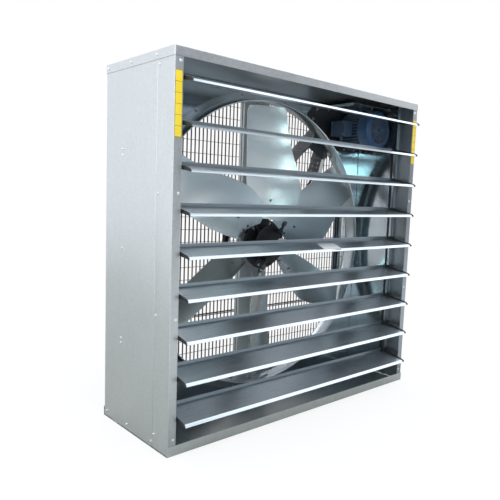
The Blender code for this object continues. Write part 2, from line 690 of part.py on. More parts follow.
def blade_point(phase, radius, chordPlace, shift):
    # chordPlace runs ahead of the spoke, against the clock seen from the shutter
    lead, trail, pitch = blade_row(radius)
    slope = math.radians(pitch)
    middle = (lead - trail) / 2 * BLADE_CHORD
    half = (lead + trail) / 2 * BLADE_CHORD
    across = (chordPlace - middle) / half
    camber = BLADE_CAMBER * (1 - across * across)
    angle = phase + chordPlace * math.cos(slope) / radius
    y = BLADE_Y + chordPlace * math.sin(slope) + camber + shift
    return (radius * math.cos(angle), y, AXIS_Z + radius * math.sin(angle))


def curved_sheet(shape, rows, columns, place):
    # a grid of rows and columns, each corner put where place(row share, column share) says
    grid = bmesh.ops.create_grid(shape, x_segments=rows - 1, y_segments=columns - 1, size=1)["verts"]
    for corner in grid:
        row = round((corner.co.x + 1) / 2 * (rows - 1))
        column = (corner.co.y + 1) / 2
        corner.co = place(row, column)
    bmesh.ops.triangulate(shape, faces=shape.faces, quad_method='FIXED')


def blade_grid_point(phase, radius, column, shift):
    # column runs from 0 at the trailing edge to 1 at the leading edge
    lead, trail, _ = blade_row(radius)
    return blade_point(phase, radius, (column * (lead + trail) - trail) * BLADE_CHORD, shift)


def blade_phase(index):
    return BLADE_FIRST_PHASE + 2 * math.pi * index / BLADE_COUNT


def blade_radii():
    span = BLADE_TIP_RADIUS - BLADE_ROOT_RADIUS
    return [BLADE_ROOT_RADIUS + span * row[0] for row in BLADE_SHARES]


def make_blade(index):
    phase = blade_phase(index)
    radii = blade_radii()

    def place(row, column):
        return blade_grid_point(phase, radii[row], column, 0)

    shape = bmesh.new()
    curved_sheet(shape, len(radii), BLADE_COLUMNS + 1, place)
    blade = mesh_object("blade_%d" % (index + 1), shape, brightSheet, smooth=True)
    add_solidify(blade, BLADE_SHEET, facing_front(blade))
    return blade


def facing_front(item):
    # the Solidify offset that grows a sheet towards the shutter
    return 1 if item.data.polygons[0].normal.y < 0 else -1


def make_hub():
    centre = (0, 0, AXIS_Z)
    discRear = HUB_DISC_Y + HUB_DISC_THICKNESS
    bore = SHAFT_RADIUS + FIT_GAP
    profile = [(HUB_BOSS_RADIUS, HUB_REAR_Y), (HUB_BOSS_RADIUS, discRear),
               (HUB_DISC_RADIUS, discRear), (HUB_DISC_RADIUS, HUB_DISC_Y),
               (HUB_BOSS_RADIUS, HUB_DISC_Y), (HUB_BOSS_RADIUS, HUB_FRONT_Y),
               (bore, HUB_FRONT_Y), (bore, HUB_REAR_Y)]
    hub = turned("hub", profile, centre, HUB_STEPS, blackPaint)
    radii = [ARM_INNER_RADIUS] + blade_radii()[:ARM_ROWS + 1]
    first, last = ARM_COLUMNS
    for index in range(BLADE_COUNT):
        phase = blade_phase(index)

        def place(row, column):
            across = (first + (last - first) * column) / BLADE_COLUMNS
            return blade_grid_point(phase, radii[row], across, ARM_SEAT_GAP)

        shape = bmesh.new()
        curved_sheet(shape, len(radii), last - first + 1, place)
        arm = mesh_object("hub_arm_%d" % (index + 1), shape, None, cuttersGroup)
        add_solidify(arm, ARM_SHEET, -facing_front(arm))
        boolean(hub, as_helper(arm), 'UNION')


# Belt drive: pulleys, belt and belt guard

def pulley_profile(pitchRadius, bore, webbed):
    half = BELT_WIDTH / 2 + BELT_CLEARANCE
    front, rear = BELT_Y - half - PULLEY_RIM, BELT_Y + half + PULLEY_RIM
    floor = pitchRadius - BELT_THICKNESS / 2 - BELT_CLEARANCE
    rim = pitchRadius + BELT_THICKNESS / 2
    groove = [(rim, rear), (rim, BELT_Y + half + PULLEY_GROOVE_FLARE), (floor, BELT_Y + half),
              (floor, BELT_Y - half), (rim, BELT_Y - half - PULLEY_GROOVE_FLARE), (rim, front)]
    if not webbed:
        return groove + [(bore, front), (bore, rear)]
    inside = floor - PULLEY_RIM_DEPTH / 2
    webFront, webRear = BELT_Y - PULLEY_WEB / 2, BELT_Y + PULLEY_WEB / 2
    return groove + [(inside, front), (inside, webFront), (PULLEY_HUB_RADIUS, webFront),
                     (PULLEY_HUB_RADIUS, front), (bore, front), (bore, rear),
                     (PULLEY_HUB_RADIUS, rear), (PULLEY_HUB_RADIUS, webRear), (inside, webRear),
                     (inside, rear)]


def make_pulleys():
    turned("driven_pulley", pulley_profile(DRIVEN_PITCH_RADIUS, SHAFT_RADIUS + FIT_GAP, True),
           (0, 0, AXIS_Z), PULLEY_STEPS, castIron)
    turned("motor_pulley", pulley_profile(MOTOR_PITCH_RADIUS, MOTOR_SHAFT_RADIUS + FIT_GAP, False),
           (MOTOR_X, 0, MOTOR_Z), TURN_STEPS, castIron)


def loop_outline(offset, steps):
    # the line round both pulleys, a given distance outside their pitch circles
    dx, dz = MOTOR_X, MOTOR_Z - AXIS_Z
    distance = math.hypot(dx, dz)
    heading = math.atan2(dz, dx)
    wrap = math.acos((DRIVEN_PITCH_RADIUS - MOTOR_PITCH_RADIUS) / distance)
    points = []
    for step in range(steps + 1):
        angle = heading - wrap + 2 * wrap * step / steps
        radius = MOTOR_PITCH_RADIUS + offset
        points.append((MOTOR_X + radius * math.cos(angle), MOTOR_Z + radius * math.sin(angle)))
    for step in range(2 * steps + 1):
        angle = heading + wrap + 2 * (math.pi - wrap) * step / (2 * steps)
        radius = DRIVEN_PITCH_RADIUS + offset
        points.append((radius * math.cos(angle), AXIS_Z + radius * math.sin(angle)))
    return points


def make_belt():
    outer = loop_outline(BELT_THICKNESS / 2, BELT_ARC_STEPS)
    inner = loop_outline(-BELT_THICKNESS / 2, BELT_ARC_STEPS)
    belt = flat_outline("v_belt", [outer, inner], BELT_WIDTH, rubber)
    belt.rotation_euler = (math.pi / 2, 0, 0)
    belt.location = (0, BELT_Y, 0)


def drive_point(along, beside):
    # along runs from the motor axis to the impeller axis, beside to the upper left of that line
    heading = math.atan2(AXIS_Z - MOTOR_Z, -MOTOR_X)
    return (MOTOR_X + along * math.cos(heading) + beside * math.sin(heading),
            MOTOR_Z + along * math.sin(heading) - beside * math.cos(heading))


def make_belt_guard():
    # a long wall that turns round the motor pulley, an inner wall between the belt's runs
    # and a web that holds the inner wall
    front, rear = PANEL_Y + SHEET + FIT_GAP, GUARD_STRIP_REAR_Y
    radius = GUARD_STRIP_RADIUS
    heading = math.atan2(MOTOR_Z - AXIS_Z, MOTOR_X)
    arc = [(MOTOR_X + radius * math.cos(heading + turn), MOTOR_Z + radius * math.sin(heading + turn))
           for turn in (math.pi * (0.5 - step / GUARD_STRIP_ARC_STEPS)
                        for step in range(GUARD_STRIP_ARC_STEPS + 1))]
    outline = [drive_point(GUARD_STRIP_RUN, radius + GUARD_STRIP_SPREAD)] + arc \
        + [drive_point(GUARD_STRIP_SHORT_RUN, -radius)]
    strip = folded_sheet("belt_guard", [(x, 0, z) for x, z in outline], (0, front, 0), (0, rear, 0),
                         GUARD_STRIP_SHEET, (MOTOR_X, 0, MOTOR_Z), blackPaint, 0)
    ends = [drive_point(*INNER_WALL_START), drive_point(*INNER_WALL_END)]
    wall = folded_sheet("belt_guard_inner_wall", [(x, 0, z) for x, z in ends], (0, front, 0),
                        (0, rear, 0), GUARD_STRIP_SHEET, (0, 0, AXIS_Z), None, 0)
    ringBack = RING_REAR_Y + GUARD_STRIP_RING_GAP
    start, end = Vector(INNER_WALL_START), Vector(INNER_WALL_END)
    share = (GUARD_WEB_SHORT_END - start.x) / (end.x - start.x)
    spread = GUARD_STRIP_SPREAD * GUARD_WEB_LONG_END / GUARD_STRIP_RUN
    corners = [drive_point(GUARD_WEB_START, radius - GUARD_STRIP_SHEET / 2),
               drive_point(GUARD_WEB_LONG_END, radius + spread - GUARD_STRIP_SHEET / 2),
               drive_point(*start.lerp(end, share)), drive_point(*start)]
    web = flat_outline("belt_guard_web", [corners], GUARD_STRIP_SHEET, None)
    web.rotation_euler = (math.pi / 2, 0, 0)
    web.location = (0, ringBack + FIT_GAP + GUARD_STRIP_SHEET / 2, 0)
    bpy.context.view_layer.update()
    for piece in (wall, freeze(web)):
        partsGroup.objects.unlink(piece)
        cuttersGroup.objects.link(piece)
        boolean(strip, as_helper(piece), 'UNION')
    # room for the venturi ring and, inside it, for the blades
    clear = THROAT_RADIUS - GUARD_STRIP_RING_GAP
    ringEdge = RING_FOOT_RADIUS + GUARD_STRIP_RING_GAP
    below = PANEL_Y - CUT_OVERRUN
    profile = [(0, GUARD_STRIP_INNER_Y), (clear, GUARD_STRIP_INNER_Y), (clear, ringBack),
               (ringEdge, ringBack), (ringEdge, below), (0, below)]
    tool = turned("guard_strip_clearance", profile, (0, 0, AXIS_Z), RING_STEPS, None, cuttersGroup)
    boolean(strip, as_helper(tool), 'DIFFERENCE')


# Motor with its shaft, cover, terminal box, mounting plate and shelf

def make_motor():
    centre = (MOTOR_X, 0, MOTOR_Z)
    bore = MOTOR_SHAFT_RADIUS + FIT_GAP
    boreEnd = MOTOR_REAR_Y - MOTOR_BORE_DEPTH
    shoulder = MOTOR_REAR_Y - MOTOR_NOSE_LENGTH
    profile = [(MOTOR_NOSE_RADIUS, MOTOR_REAR_Y), (MOTOR_RADIUS, shoulder),
               (MOTOR_RADIUS, MOTOR_FRONT_Y), (0, MOTOR_FRONT_Y), (0, boreEnd), (bore, boreEnd),
               (bore, MOTOR_REAR_Y)]
    body = turned("motor_body", profile, centre, TURN_STEPS, navyPaint)
    footTop = SHELF_Z - FIT_GAP - MOTOR_Z
    shape = bmesh.new()
    add_box(shape, (MOTOR_X - FOOT_HALF_WIDTH, FOOT_Y - FOOT_LENGTH / 2, MOTOR_Z + MOTOR_RADIUS / 2),
            (MOTOR_X + FOOT_HALF_WIDTH, FOOT_Y + FOOT_LENGTH / 2, MOTOR_Z + footTop))
    boolean(body, helper_object("motor_foot", shape), 'UNION')
    shaftFront = boreEnd + FIT_GAP
    turned("motor_shaft", [(0, SHAFT_REAR_Y), (MOTOR_SHAFT_RADIUS, SHAFT_REAR_Y),
                           (MOTOR_SHAFT_RADIUS, shaftFront), (0, shaftFront)],
           centre, TURN_STEPS, brightSteel)
    inner = MOTOR_RADIUS + FIT_GAP
    outer = inner + COVER_SHEET

    def rounded_end(radius, front):
        return [(radius - COVER_CORNER * (1 - math.cos(a)), front + COVER_CORNER * (1 - math.sin(a)))
                for a in (0, math.pi / 4, math.pi / 2)] + [(0, front)]

    cover = [(outer, COVER_REAR_Y)] + rounded_end(outer, COVER_FRONT_Y)
    cover += reversed(rounded_end(inner, COVER_FRONT_Y + COVER_SHEET))
    cover += [(inner, COVER_REAR_Y)]
    turned("motor_fan_cover", cover, centre, TURN_STEPS, navyPaint)
    shape = bmesh.new()
    boxRight = MOTOR_X - MOTOR_RADIUS - FIT_GAP
    add_box(shape, (boxRight - TERMINAL_BOX_REACH, TERMINAL_BOX_Y - TERMINAL_BOX_LENGTH / 2,
                    MOTOR_Z - TERMINAL_BOX_HEIGHT / 2),
            (boxRight, TERMINAL_BOX_Y + TERMINAL_BOX_LENGTH / 2, MOTOR_Z + TERMINAL_BOX_HEIGHT / 2))
    box = mesh_object("terminal_box", shape, navyPaint)
    add_bevel(box, TERMINAL_BOX_BEVEL, 2)


def make_motor_mounting():
    rear = PANEL_Y - FIT_GAP
    outline = [(PLATE_LEFT_X, PLATE_BOTTOM_Z), (PLATE_RIGHT_X, PLATE_BOTTOM_Z),
               (PLATE_RIGHT_X, PLATE_TOP_Z), (PLATE_LEFT_X + PLATE_CORNER_CUT, PLATE_TOP_Z),
               (PLATE_LEFT_X, PLATE_TOP_Z - PLATE_CORNER_CUT)]
    plate = flat_outline("motor_plate", [outline], PLATE_THICKNESS, blackPaint)
    plate.rotation_euler = (math.pi / 2, 0, 0)
    plate.location = (0, rear - PLATE_THICKNESS / 2, 0)
    bpy.context.view_layer.update()
    plate = freeze(plate)
    front = rear - PLATE_THICKNESS
    shape = bmesh.new()
    add_rod(shape, (0, front - CUT_OVERRUN, AXIS_Z), (0, rear + CUT_OVERRUN, AXIS_Z),
            RING_FOOT_RADIUS + GUARD_STRIP_RING_GAP, RING_STEPS)
    boolean(plate, helper_object("plate_ring_cut", shape), 'DIFFERENCE')
    shape = bmesh.new()
    add_rod(shape, (MOTOR_X, front - CUT_OVERRUN, MOTOR_Z), (MOTOR_X, rear + CUT_OVERRUN, MOTOR_Z),
            SHAFT_HOLE_RADIUS, 2 * HOLE_SIDES)
    boolean(plate, helper_object("plate_shaft_hole", shape), 'DIFFERENCE')
    top = SHELF_Z + SHELF_SHEET
    path = [(SHELF_LEFT_X, 0, top - SHELF_LIP), (SHELF_LEFT_X, 0, top), (SHELF_RIGHT_X, 0, top)]
    folded_sheet("motor_shelf", path, (0, SHELF_FRONT_Y, 0), (0, front - FIT_GAP, 0), SHELF_SHEET,
                 (SHELF_RIGHT_X, 0, 0), brightSheet, BEND_RADIUS)


# Shutter: slats, end caps with cranks, link bar and the bracket of the driven slat

def slat_section():
    rear = (SLAT_TAIL, -SLAT_TAIL_DROP)
    front = (-SLAT_REACH, -SLAT_DROP)
    return [(rear[0], rear[1] + SLAT_REAR_LIP), rear, front,
            (front[0] - SLAT_FRONT_LIP_REACH, front[1] - SLAT_FRONT_LIP_DROP)]


def end_cap_outline():
    # follows the slat's section with a margin, with a round boss at the pivot
    top, rear, front, tip = slat_section()
    m = END_CAP_MARGIN
    return [(rear[0] + m, rear[1] - m), (rear[0] + m, top[1]), (-rear[0], top[1]),
            (-SLAT_TAIL - 2 * m, m), (front[0], front[1] + m), (tip[0], tip[1] + 2 * m), tip,
            (front[0] + m, front[1] - 2 * m), (-SLAT_TAIL - 2 * m, -SLAT_TAIL_DROP - 3 * m)]


def crank_pin_place(radius, sign):
    # the pin's place from the pivot with the shutter open, half the travel short of straight down
    return (sign * radius * math.sin(CRANK_REST_ANGLE), -radius * math.cos(CRANK_REST_ANGLE))


def cap_solid(name, side, group):
    # an end cap in the slat's own frame, its plate just past the sheet's end
    inner = side * (SLAT_HALF_LENGTH + FIT_GAP)
    cap = flat_outline(name, [end_cap_outline()], END_CAP_THICKNESS, None)
    partsGroup.objects.unlink(cap)
    group.objects.link(cap)
    cap.rotation_euler = (math.pi / 2, 0, math.pi / 2)
    cap.location = (inner + side * END_CAP_THICKNESS / 2, 0, 0)
    bpy.context.view_layer.update()
    return freeze(cap)


def make_slats():
    # one slat with its left cap and stub is built at the origin, then placed nine times
    section = [(0, y, z) for y, z in slat_section()]
    sheet = folded_sheet("slat_pattern", section, (-SLAT_HALF_LENGTH, 0, 0), (SLAT_HALF_LENGTH, 0, 0),
                         SLAT_SHEET, (0, 0, -BOX_HEIGHT), slatSheet, 0)
    cap = cap_solid("left_cap_pattern", -1, cuttersGroup)
    cap.location.x += FIT_GAP * 2
    boolean(sheet, as_helper(cap), 'UNION')
    shape = bmesh.new()
    add_rod(shape, (-WALL_X + FIT_GAP, 0, 0), (-SLAT_HALF_LENGTH - END_CAP_THICKNESS / 2, 0, 0),
            STUB_RADIUS, HOLE_SIDES)
    boolean(sheet, helper_object("left_stub_pattern", shape), 'UNION')
    pattern = freeze(sheet)
    for index in range(SLAT_COUNT):
        slat = add_object("slat_%d" % (index + 1), pattern.data, None)
        slat.location = (0, SLAT_PIVOT_Y, slat_pivot_z(index))
    bpy.data.objects.remove(pattern, do_unlink=True)
    for slat in partsGroup.objects:
        if slat.name.startswith("slat_") and not slat.data.materials:
            slat.data.materials.append(slatSheet)


def make_crank_caps():
    # the right end caps carry the stub axle and the crank pin of the link bar
    cap = cap_solid("crank_pattern", 1, partsGroup)
    outer = SLAT_HALF_LENGTH + FIT_GAP + END_CAP_THICKNESS
    pinY, pinZ = crank_pin_place(CRANK_RADIUS, 1)
    shape = bmesh.new()
    add_rod(shape, (outer - END_CAP_THICKNESS / 2, 0, 0), (WALL_X - FIT_GAP, 0, 0),
            STUB_RADIUS, HOLE_SIDES)
    boolean(cap, helper_object("right_stub_pattern", shape), 'UNION')
    arm = [(0, CRANK_ARM_HALF_WIDTH), (CRANK_RADIUS, CRANK_ARM_HALF_WIDTH),
           (CRANK_RADIUS + CRANK_ARM_HALF_WIDTH, 0), (CRANK_RADIUS, -CRANK_ARM_HALF_WIDTH),
           (0, -CRANK_ARM_HALF_WIDTH), (-CRANK_ARM_HALF_WIDTH, 0)]
    heading = math.atan2(pinZ, pinY)
    turnedArm = [(u * math.cos(heading) - v * math.sin(heading),
                  u * math.sin(heading) + v * math.cos(heading)) for u, v in arm]
    armItem = flat_outline("crank_arm_pattern", [turnedArm], END_CAP_THICKNESS, None)
    partsGroup.objects.unlink(armItem)
    cuttersGroup.objects.link(armItem)
    armItem.rotation_euler = (math.pi / 2, 0, math.pi / 2)
    armItem.location = (outer - END_CAP_THICKNESS / 4, 0, 0)
    bpy.context.view_layer.update()
    boolean(cap, as_helper(freeze(armItem)), 'UNION')
    shape = bmesh.new()
    pinEnd = LINK_BAR_X + LINK_BAR_THICKNESS + LINK_PIN_RADIUS
    add_rod(shape, (outer, pinY, pinZ), (pinEnd, pinY, pinZ), LINK_PIN_RADIUS, HOLE_SIDES)
    boolean(cap, helper_object("crank_pin_pattern", shape), 'UNION')
    pattern = freeze(cap)
    pattern.data.materials.append(blackPlastic)
    for index in range(SLAT_COUNT):
        place = add_object("crank_cap_%d" % (index + 1), pattern.data, None)
        place.location = (0, SLAT_PIVOT_Y, slat_pivot_z(index))
        place.matrix_world = Matrix.Translation(place.location) @ pattern.matrix_world
    bpy.data.objects.remove(pattern, do_unlink=True)


def make_link_bar():
    # origin on the pin of the middle slat, which carries the bar
    pinY, pinZ = crank_pin_place(CRANK_RADIUS, 1)
    middle = SLAT_COUNT // 2
    half = LINK_BAR_WIDTH / 2
    reach = SLAT_PITCH * middle + LINK_BAR_END
    outline = [(-half, -reach), (half, -reach), (half, reach), (-half, reach)]
    holes = [circle_points((0, SLAT_PITCH * (i - middle)), LINK_PIN_RADIUS + LINK_PIN_CLEARANCE,
                           HOLE_SIDES) for i in range(SLAT_COUNT)]
    bar = flat_outline("link_bar", [outline] + holes, LINK_BAR_THICKNESS, blackPlastic)
    bar.rotation_euler = (math.pi / 2, 0, math.pi / 2)
    bar.location = (LINK_BAR_X + LINK_BAR_THICKNESS / 2, SLAT_PIVOT_Y + pinY,
                    slat_pivot_z(middle) + pinZ)


def make_slat_bracket():
    # two cheeks and a pin under the middle slat, in the slat's own frame
    pinY, pinZ = crank_pin_place(BRACKET_CRANK, -1)
    slope = (SLAT_DROP - SLAT_TAIL_DROP) / (SLAT_REACH + SLAT_TAIL)

    def underside(y):
        return -SLAT_TAIL_DROP - (SLAT_TAIL - y) * slope - SLAT_SHEET - FIT_GAP

    half = BRACKET_CHEEK_HALF_WIDTH
    rear, front = pinY + half, pinY - BRACKET_FOOT
    section = [(rear, underside(rear)), (front, underside(front)),
               (front, underside(front) - BRACKET_SHEET), (pinY - half, pinZ - half),
               (pinY + half, pinZ - half), (rear, pinZ)]
    cheek = flat_outline("slat_bracket", [section], BRACKET_SHEET, galvanised)
    cheek.rotation_euler = (math.pi / 2, 0, math.pi / 2)
    cheek.location = (BRACKET_HALF_SPAN, 0, 0)
    bpy.context.view_layer.update()
    bracket = freeze(cheek)
    other = flat_outline("bracket_cheek", [section], BRACKET_SHEET, None)
    partsGroup.objects.unlink(other)
    cuttersGroup.objects.link(other)
    other.rotation_euler = (math.pi / 2, 0, math.pi / 2)
    other.location = (-BRACKET_HALF_SPAN, 0, 0)
    bpy.context.view_layer.update()
    boolean(bracket, as_helper(freeze(other)), 'UNION')
    frontBar = front + BRACKET_FOOT / 3
    shape = bmesh.new()
    low = Vector((-BRACKET_HALF_SPAN, front, underside(front) - BRACKET_SHEET / 2))
    add_box(shape, low, (BRACKET_HALF_SPAN, frontBar, underside(front)))
    boolean(bracket, helper_object("bracket_foot", shape), 'UNION')
    shape = bmesh.new()
    reach = BRACKET_HALF_SPAN + BRACKET_SHEET
    add_rod(shape, (-reach, pinY, pinZ), (reach, pinY, pinZ), BRACKET_PIN_RADIUS, HOLE_SIDES)
    boolean(bracket, helper_object("bracket_pin", shape), 'UNION')
    solid = freeze(bracket)
    solid.matrix_world = Matrix.Translation((0, SLAT_PIVOT_Y, slat_pivot_z(SLAT_COUNT // 2))) \
        @ solid.matrix_world


# Centrifugal opener: push rod, collar, spring, governor plate and flyweights

def make_push_rod():
    pinY, pinZ = crank_pin_place(BRACKET_CRANK, -1)
    pivotZ = slat_pivot_z(SLAT_COUNT // 2)
    pinRise = BRACKET_CRANK * (1 - math.cos(CRANK_REST_ANGLE))
    slotHalf = BRACKET_PIN_RADIUS + ROD_SLOT_CLEARANCE
    slotTop = pivotZ + pinZ + BRACKET_PIN_RADIUS + ROD_SLOT_CLEARANCE / 2
    slotBottom = pivotZ + pinZ - pinRise - BRACKET_PIN_RADIUS - ROD_SLOT_CLEARANCE / 2
    headY = SLAT_PIVOT_Y + pinY
    wall = ROD_HEAD_WALL
    shape = bmesh.new()
    add_rod(shape, (0, ROD_REAR_Y, AXIS_Z), (0, headY + slotHalf + wall / 2, AXIS_Z),
            ROD_RADIUS, HOLE_SIDES)
    rod = mesh_object("push_rod", shape, brightSteel)
    shape = bmesh.new()
    headTop = max(slotTop, AXIS_Z) + wall
    headBottom = min(slotBottom, AXIS_Z) - wall
    add_box(shape, (-ROD_HEAD_HALF_WIDTH, headY - slotHalf - wall, headBottom),
            (ROD_HEAD_HALF_WIDTH, headY + slotHalf + wall, headTop))
    boolean(rod, helper_object("rod_head", shape), 'UNION')
    shape = bmesh.new()
    add_box(shape, (-ROD_HEAD_HALF_WIDTH - CUT_OVERRUN, headY - slotHalf, slotBottom),
            (ROD_HEAD_HALF_WIDTH + CUT_OVERRUN, headY + slotHalf, slotTop))
    boolean(rod, helper_object("rod_slot", shape), 'DIFFERENCE')
    centre = (0, 0, AXIS_Z)
    turned("thrust_collar", tube_profile(ROD_RADIUS + FIT_GAP, COLLAR_RADIUS,
                                         COLLAR_REAR_Y - COLLAR_THICKNESS, COLLAR_REAR_Y),
           centre, TURN_STEPS, brightSteel)
    springRear = COLLAR_REAR_Y - COLLAR_THICKNESS - SPRING_END_GAP - SPRING_WIRE_RADIUS
    springFront = headY + slotHalf + wall + SPRING_END_GAP + SPRING_WIRE_RADIUS
    curve = bpy.data.curves.new("buffer_spring", 'CURVE')
    curve.dimensions = '3D'
    curve.bevel_depth = SPRING_WIRE_RADIUS
    curve.bevel_resolution = 1
    curve.use_fill_caps = True
    spline = curve.splines.new('POLY')
    count = SPRING_CURLS * SPRING_POINTS_PER_CURL
    spline.points.add(count)
    for step, point in enumerate(spline.points):
        angle = 2 * math.pi * step / SPRING_POINTS_PER_CURL
        y = springRear + (springFront - springRear) * step / count
        point.co = (SPRING_RADIUS * math.cos(angle), y, AXIS_Z + SPRING_RADIUS * math.sin(angle), 1)
    add_object("buffer_spring", curve, brightSteel)


def lever_frame(phase):
    # local X runs outwards, local Y towards the shutter, origin on the lever's pivot
    out = Vector((math.cos(phase), 0, math.sin(phase)))
    forward = Vector((0, -1, 0))
    across = out.cross(forward)
    pivot = out * LEVER_PIVOT_RADIUS + Vector((0, LEVER_PIVOT_Y, AXIS_Z))
    frame = Matrix((out, forward, across)).transposed().to_4x4()
    return Matrix.Translation(pivot) @ frame


def lever_outline():
    angle = math.pi - LEVER_TOE_ANGLE
    toe = Vector((math.cos(angle), math.sin(angle))) * LEVER_TOE_LENGTH
    side = Vector((-math.sin(angle), math.cos(angle))) * LEVER_HALF_WIDTH
    tip = toe.normalized() * LEVER_HALF_WIDTH
    half = 2 * LEVER_HALF_WIDTH
    weightStart = WEIGHT_REACH - WEIGHT_LENGTH / 2
    weightEnd = WEIGHT_REACH + WEIGHT_LENGTH / 2
    return [tuple(toe + side), tuple(toe + tip), tuple(toe - side), tuple(-side), (half, half),
            (weightStart, LEVER_HALF_WIDTH), (weightStart, WEIGHT_HALF_HEIGHT),
            (weightEnd, WEIGHT_HALF_HEIGHT), (weightEnd, -WEIGHT_HALF_HEIGHT),
            (weightStart, -WEIGHT_HALF_HEIGHT), (weightStart, -LEVER_HALF_WIDTH), (0, -half),
            (-half, -LEVER_HALF_WIDTH)]


def make_governor():
    rear = HUB_FRONT_Y - FIT_GAP
    plate = turned("governor_plate", tube_profile(SHAFT_RADIUS + FIT_GAP, GOVERNOR_RADIUS,
                                                  rear - GOVERNOR_THICKNESS, rear),
                   (0, 0, AXIS_Z), HUB_STEPS, blackPaint)
    for number, phase in enumerate(LEVER_PHASES):
        frame = lever_frame(phase)
        base = LEVER_PIVOT_Y - (rear - GOVERNOR_THICKNESS / 2)
        for side in (-1, 1):
            inner = side * (LEVER_THICKNESS / 2 + EAR_GAP)
            outer = inner + side * EAR_THICKNESS
            shape = bmesh.new()
            add_box(shape, (-EAR_HALF_WIDTH, base, min(inner, outer)),
                    (EAR_HALF_WIDTH, EAR_TOP, max(inner, outer)))
            bmesh.ops.transform(shape, matrix=frame, verts=shape.verts)
            boolean(plate, helper_object("ear_%d_%d" % (number, side), shape), 'UNION')
        shape = bmesh.new()
        reach = LEVER_PIN_HALF_LENGTH + CUT_OVERRUN
        add_rod(shape, frame @ Vector((0, 0, -reach)), frame @ Vector((0, 0, reach)),
                LEVER_PIN_RADIUS + LEVER_PIN_CLEARANCE, HOLE_SIDES)
        boolean(plate, helper_object("ear_hole_%d" % number, shape), 'DIFFERENCE')
        lever = flat_outline("flyweight_%d" % (number + 1), [lever_outline()], LEVER_THICKNESS,
                             castIron)
        lever.matrix_world = frame
        bpy.context.view_layer.update()
        lever = freeze(lever)
        shape = bmesh.new()
        add_rod(shape, frame @ Vector((0, 0, -LEVER_PIN_HALF_LENGTH)),
                frame @ Vector((0, 0, LEVER_PIN_HALF_LENGTH)), LEVER_PIN_RADIUS, HOLE_SIDES)
        boolean(lever, helper_object("lever_pin_%d" % number, shape), 'UNION')


make_caps()
make_sides()
make_orifice_panel()
make_ring()
make_guard()
make_posts()
make_bearings()
make_shaft()
make_hub()
for bladeIndex in range(BLADE_COUNT):
    make_blade(bladeIndex)
make_pulleys()
make_belt()
make_belt_guard()
make_motor()
make_motor_mounting()
make_slats()
make_crank_caps()
make_link_bar()
make_slat_bracket()
make_push_rod()
make_governor()
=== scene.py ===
from math import acos, atan2, copysign, cos, exp, hypot, pi, radians, sin, tan

import bmesh
import bpy
from mathutils import Matrix, Vector
from mathutils.geometry import tessellate_polygon


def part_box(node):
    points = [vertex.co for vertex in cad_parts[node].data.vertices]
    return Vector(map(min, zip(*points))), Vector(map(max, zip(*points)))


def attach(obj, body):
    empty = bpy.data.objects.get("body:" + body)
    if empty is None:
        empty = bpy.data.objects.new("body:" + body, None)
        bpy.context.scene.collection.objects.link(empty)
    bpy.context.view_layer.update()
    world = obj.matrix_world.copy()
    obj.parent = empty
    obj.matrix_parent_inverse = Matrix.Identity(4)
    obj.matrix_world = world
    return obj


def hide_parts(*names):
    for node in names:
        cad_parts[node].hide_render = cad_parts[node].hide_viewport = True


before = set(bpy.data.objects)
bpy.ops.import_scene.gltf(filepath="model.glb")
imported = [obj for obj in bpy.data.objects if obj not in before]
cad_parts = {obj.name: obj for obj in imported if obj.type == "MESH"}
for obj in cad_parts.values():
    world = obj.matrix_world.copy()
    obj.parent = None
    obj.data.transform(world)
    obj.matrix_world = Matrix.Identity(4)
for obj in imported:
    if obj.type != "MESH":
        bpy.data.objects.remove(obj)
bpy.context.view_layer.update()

scene = bpy.context.scene
housing = "housing"
axisZ = 0.69  # height of the impeller's axis
motorPlace = (0.571, 1.250)  # x and z of the motor's axis
weld = 0.00001  # corners nearer than this are one
toFront, toRear, toTop = (0, -1, 0), (0, 1, 0), (0, 0, 1)
print("frame loaded,", len(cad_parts), "nodes")


class Settings(dict):
    # a dictionary whose entries also read as attributes
    __getattr__ = dict.__getitem__


# node helpers, for shader trees and geometry trees alike

def feed(tree, socket, value):
    if isinstance(value, bpy.types.NodeSocket):
        tree.links.new(value, socket)
    else:
        socket.default_value = value


def addNode(tree, kind, inputs=(), **settings):
    node = tree.nodes.new(kind)
    for key, value in settings.items():
        setattr(node, key, value)
    for label, value in dict(inputs).items():
        feed(tree, node.inputs[label], value)
    return node


def calc(tree, operation, first, second=0.0):
    return addNode(tree, "ShaderNodeMath", {0: first, 1: second}, operation=operation).outputs[0]


def mapRange(tree, value, start, end, low=0.0, high=1.0):
    return addNode(tree, "ShaderNodeMapRange", {0: value, 1: start, 2: end, 3: low, 4: high}).outputs[0]


def component(tree, vector, axis):
    return addNode(tree, "ShaderNodeSeparateXYZ", {0: vector}).outputs[axis]


def blendColour(tree, share, low, high):
    # the Mix node's colour inputs have the indexes 6 and 7; a plain colour gets its alpha here
    low, high = ((*tone, 1) if isinstance(tone, tuple) else tone for tone in (low, high))
    return addNode(tree, "ShaderNodeMix", {0: share, 6: low, 7: high}, data_type='RGBA').outputs[2]


def noise(tree, place, scale, detail, roughness=0.5):
    return addNode(tree, "ShaderNodeTexNoise", {"Vector": place, "Scale": scale, "Detail": detail,
                                                "Roughness": roughness}).outputs


# finishes: each is a base colour that varies with spangle cells, rolled streaks and blotches; some also
# carry painted shade on faces that look ahead, down or up

# the three facing entries (ahead, down, up) are painted shade: they darken faces by the way they look
finishDefaults = {
    "spangle": 0.0, "streak": None, "blotch": 5.0, "blotchShare": 0.6, "dust": 0.0, "wear": 0.0,
    "front": 0.0, "under": 0.0, "over": 0.0, "roughSpread": 0.1, "metallic": 0.0, "coat": 0.0,
    "specular": 0.5, "grain": 400.0, "relief": 0.4, "bump": 0.1}
dustTone, bareTone, paintedShadeTone = (0.36, 0.34, 0.31), (0.30, 0.31, 0.32), (0.0, 0.0, 0.0)


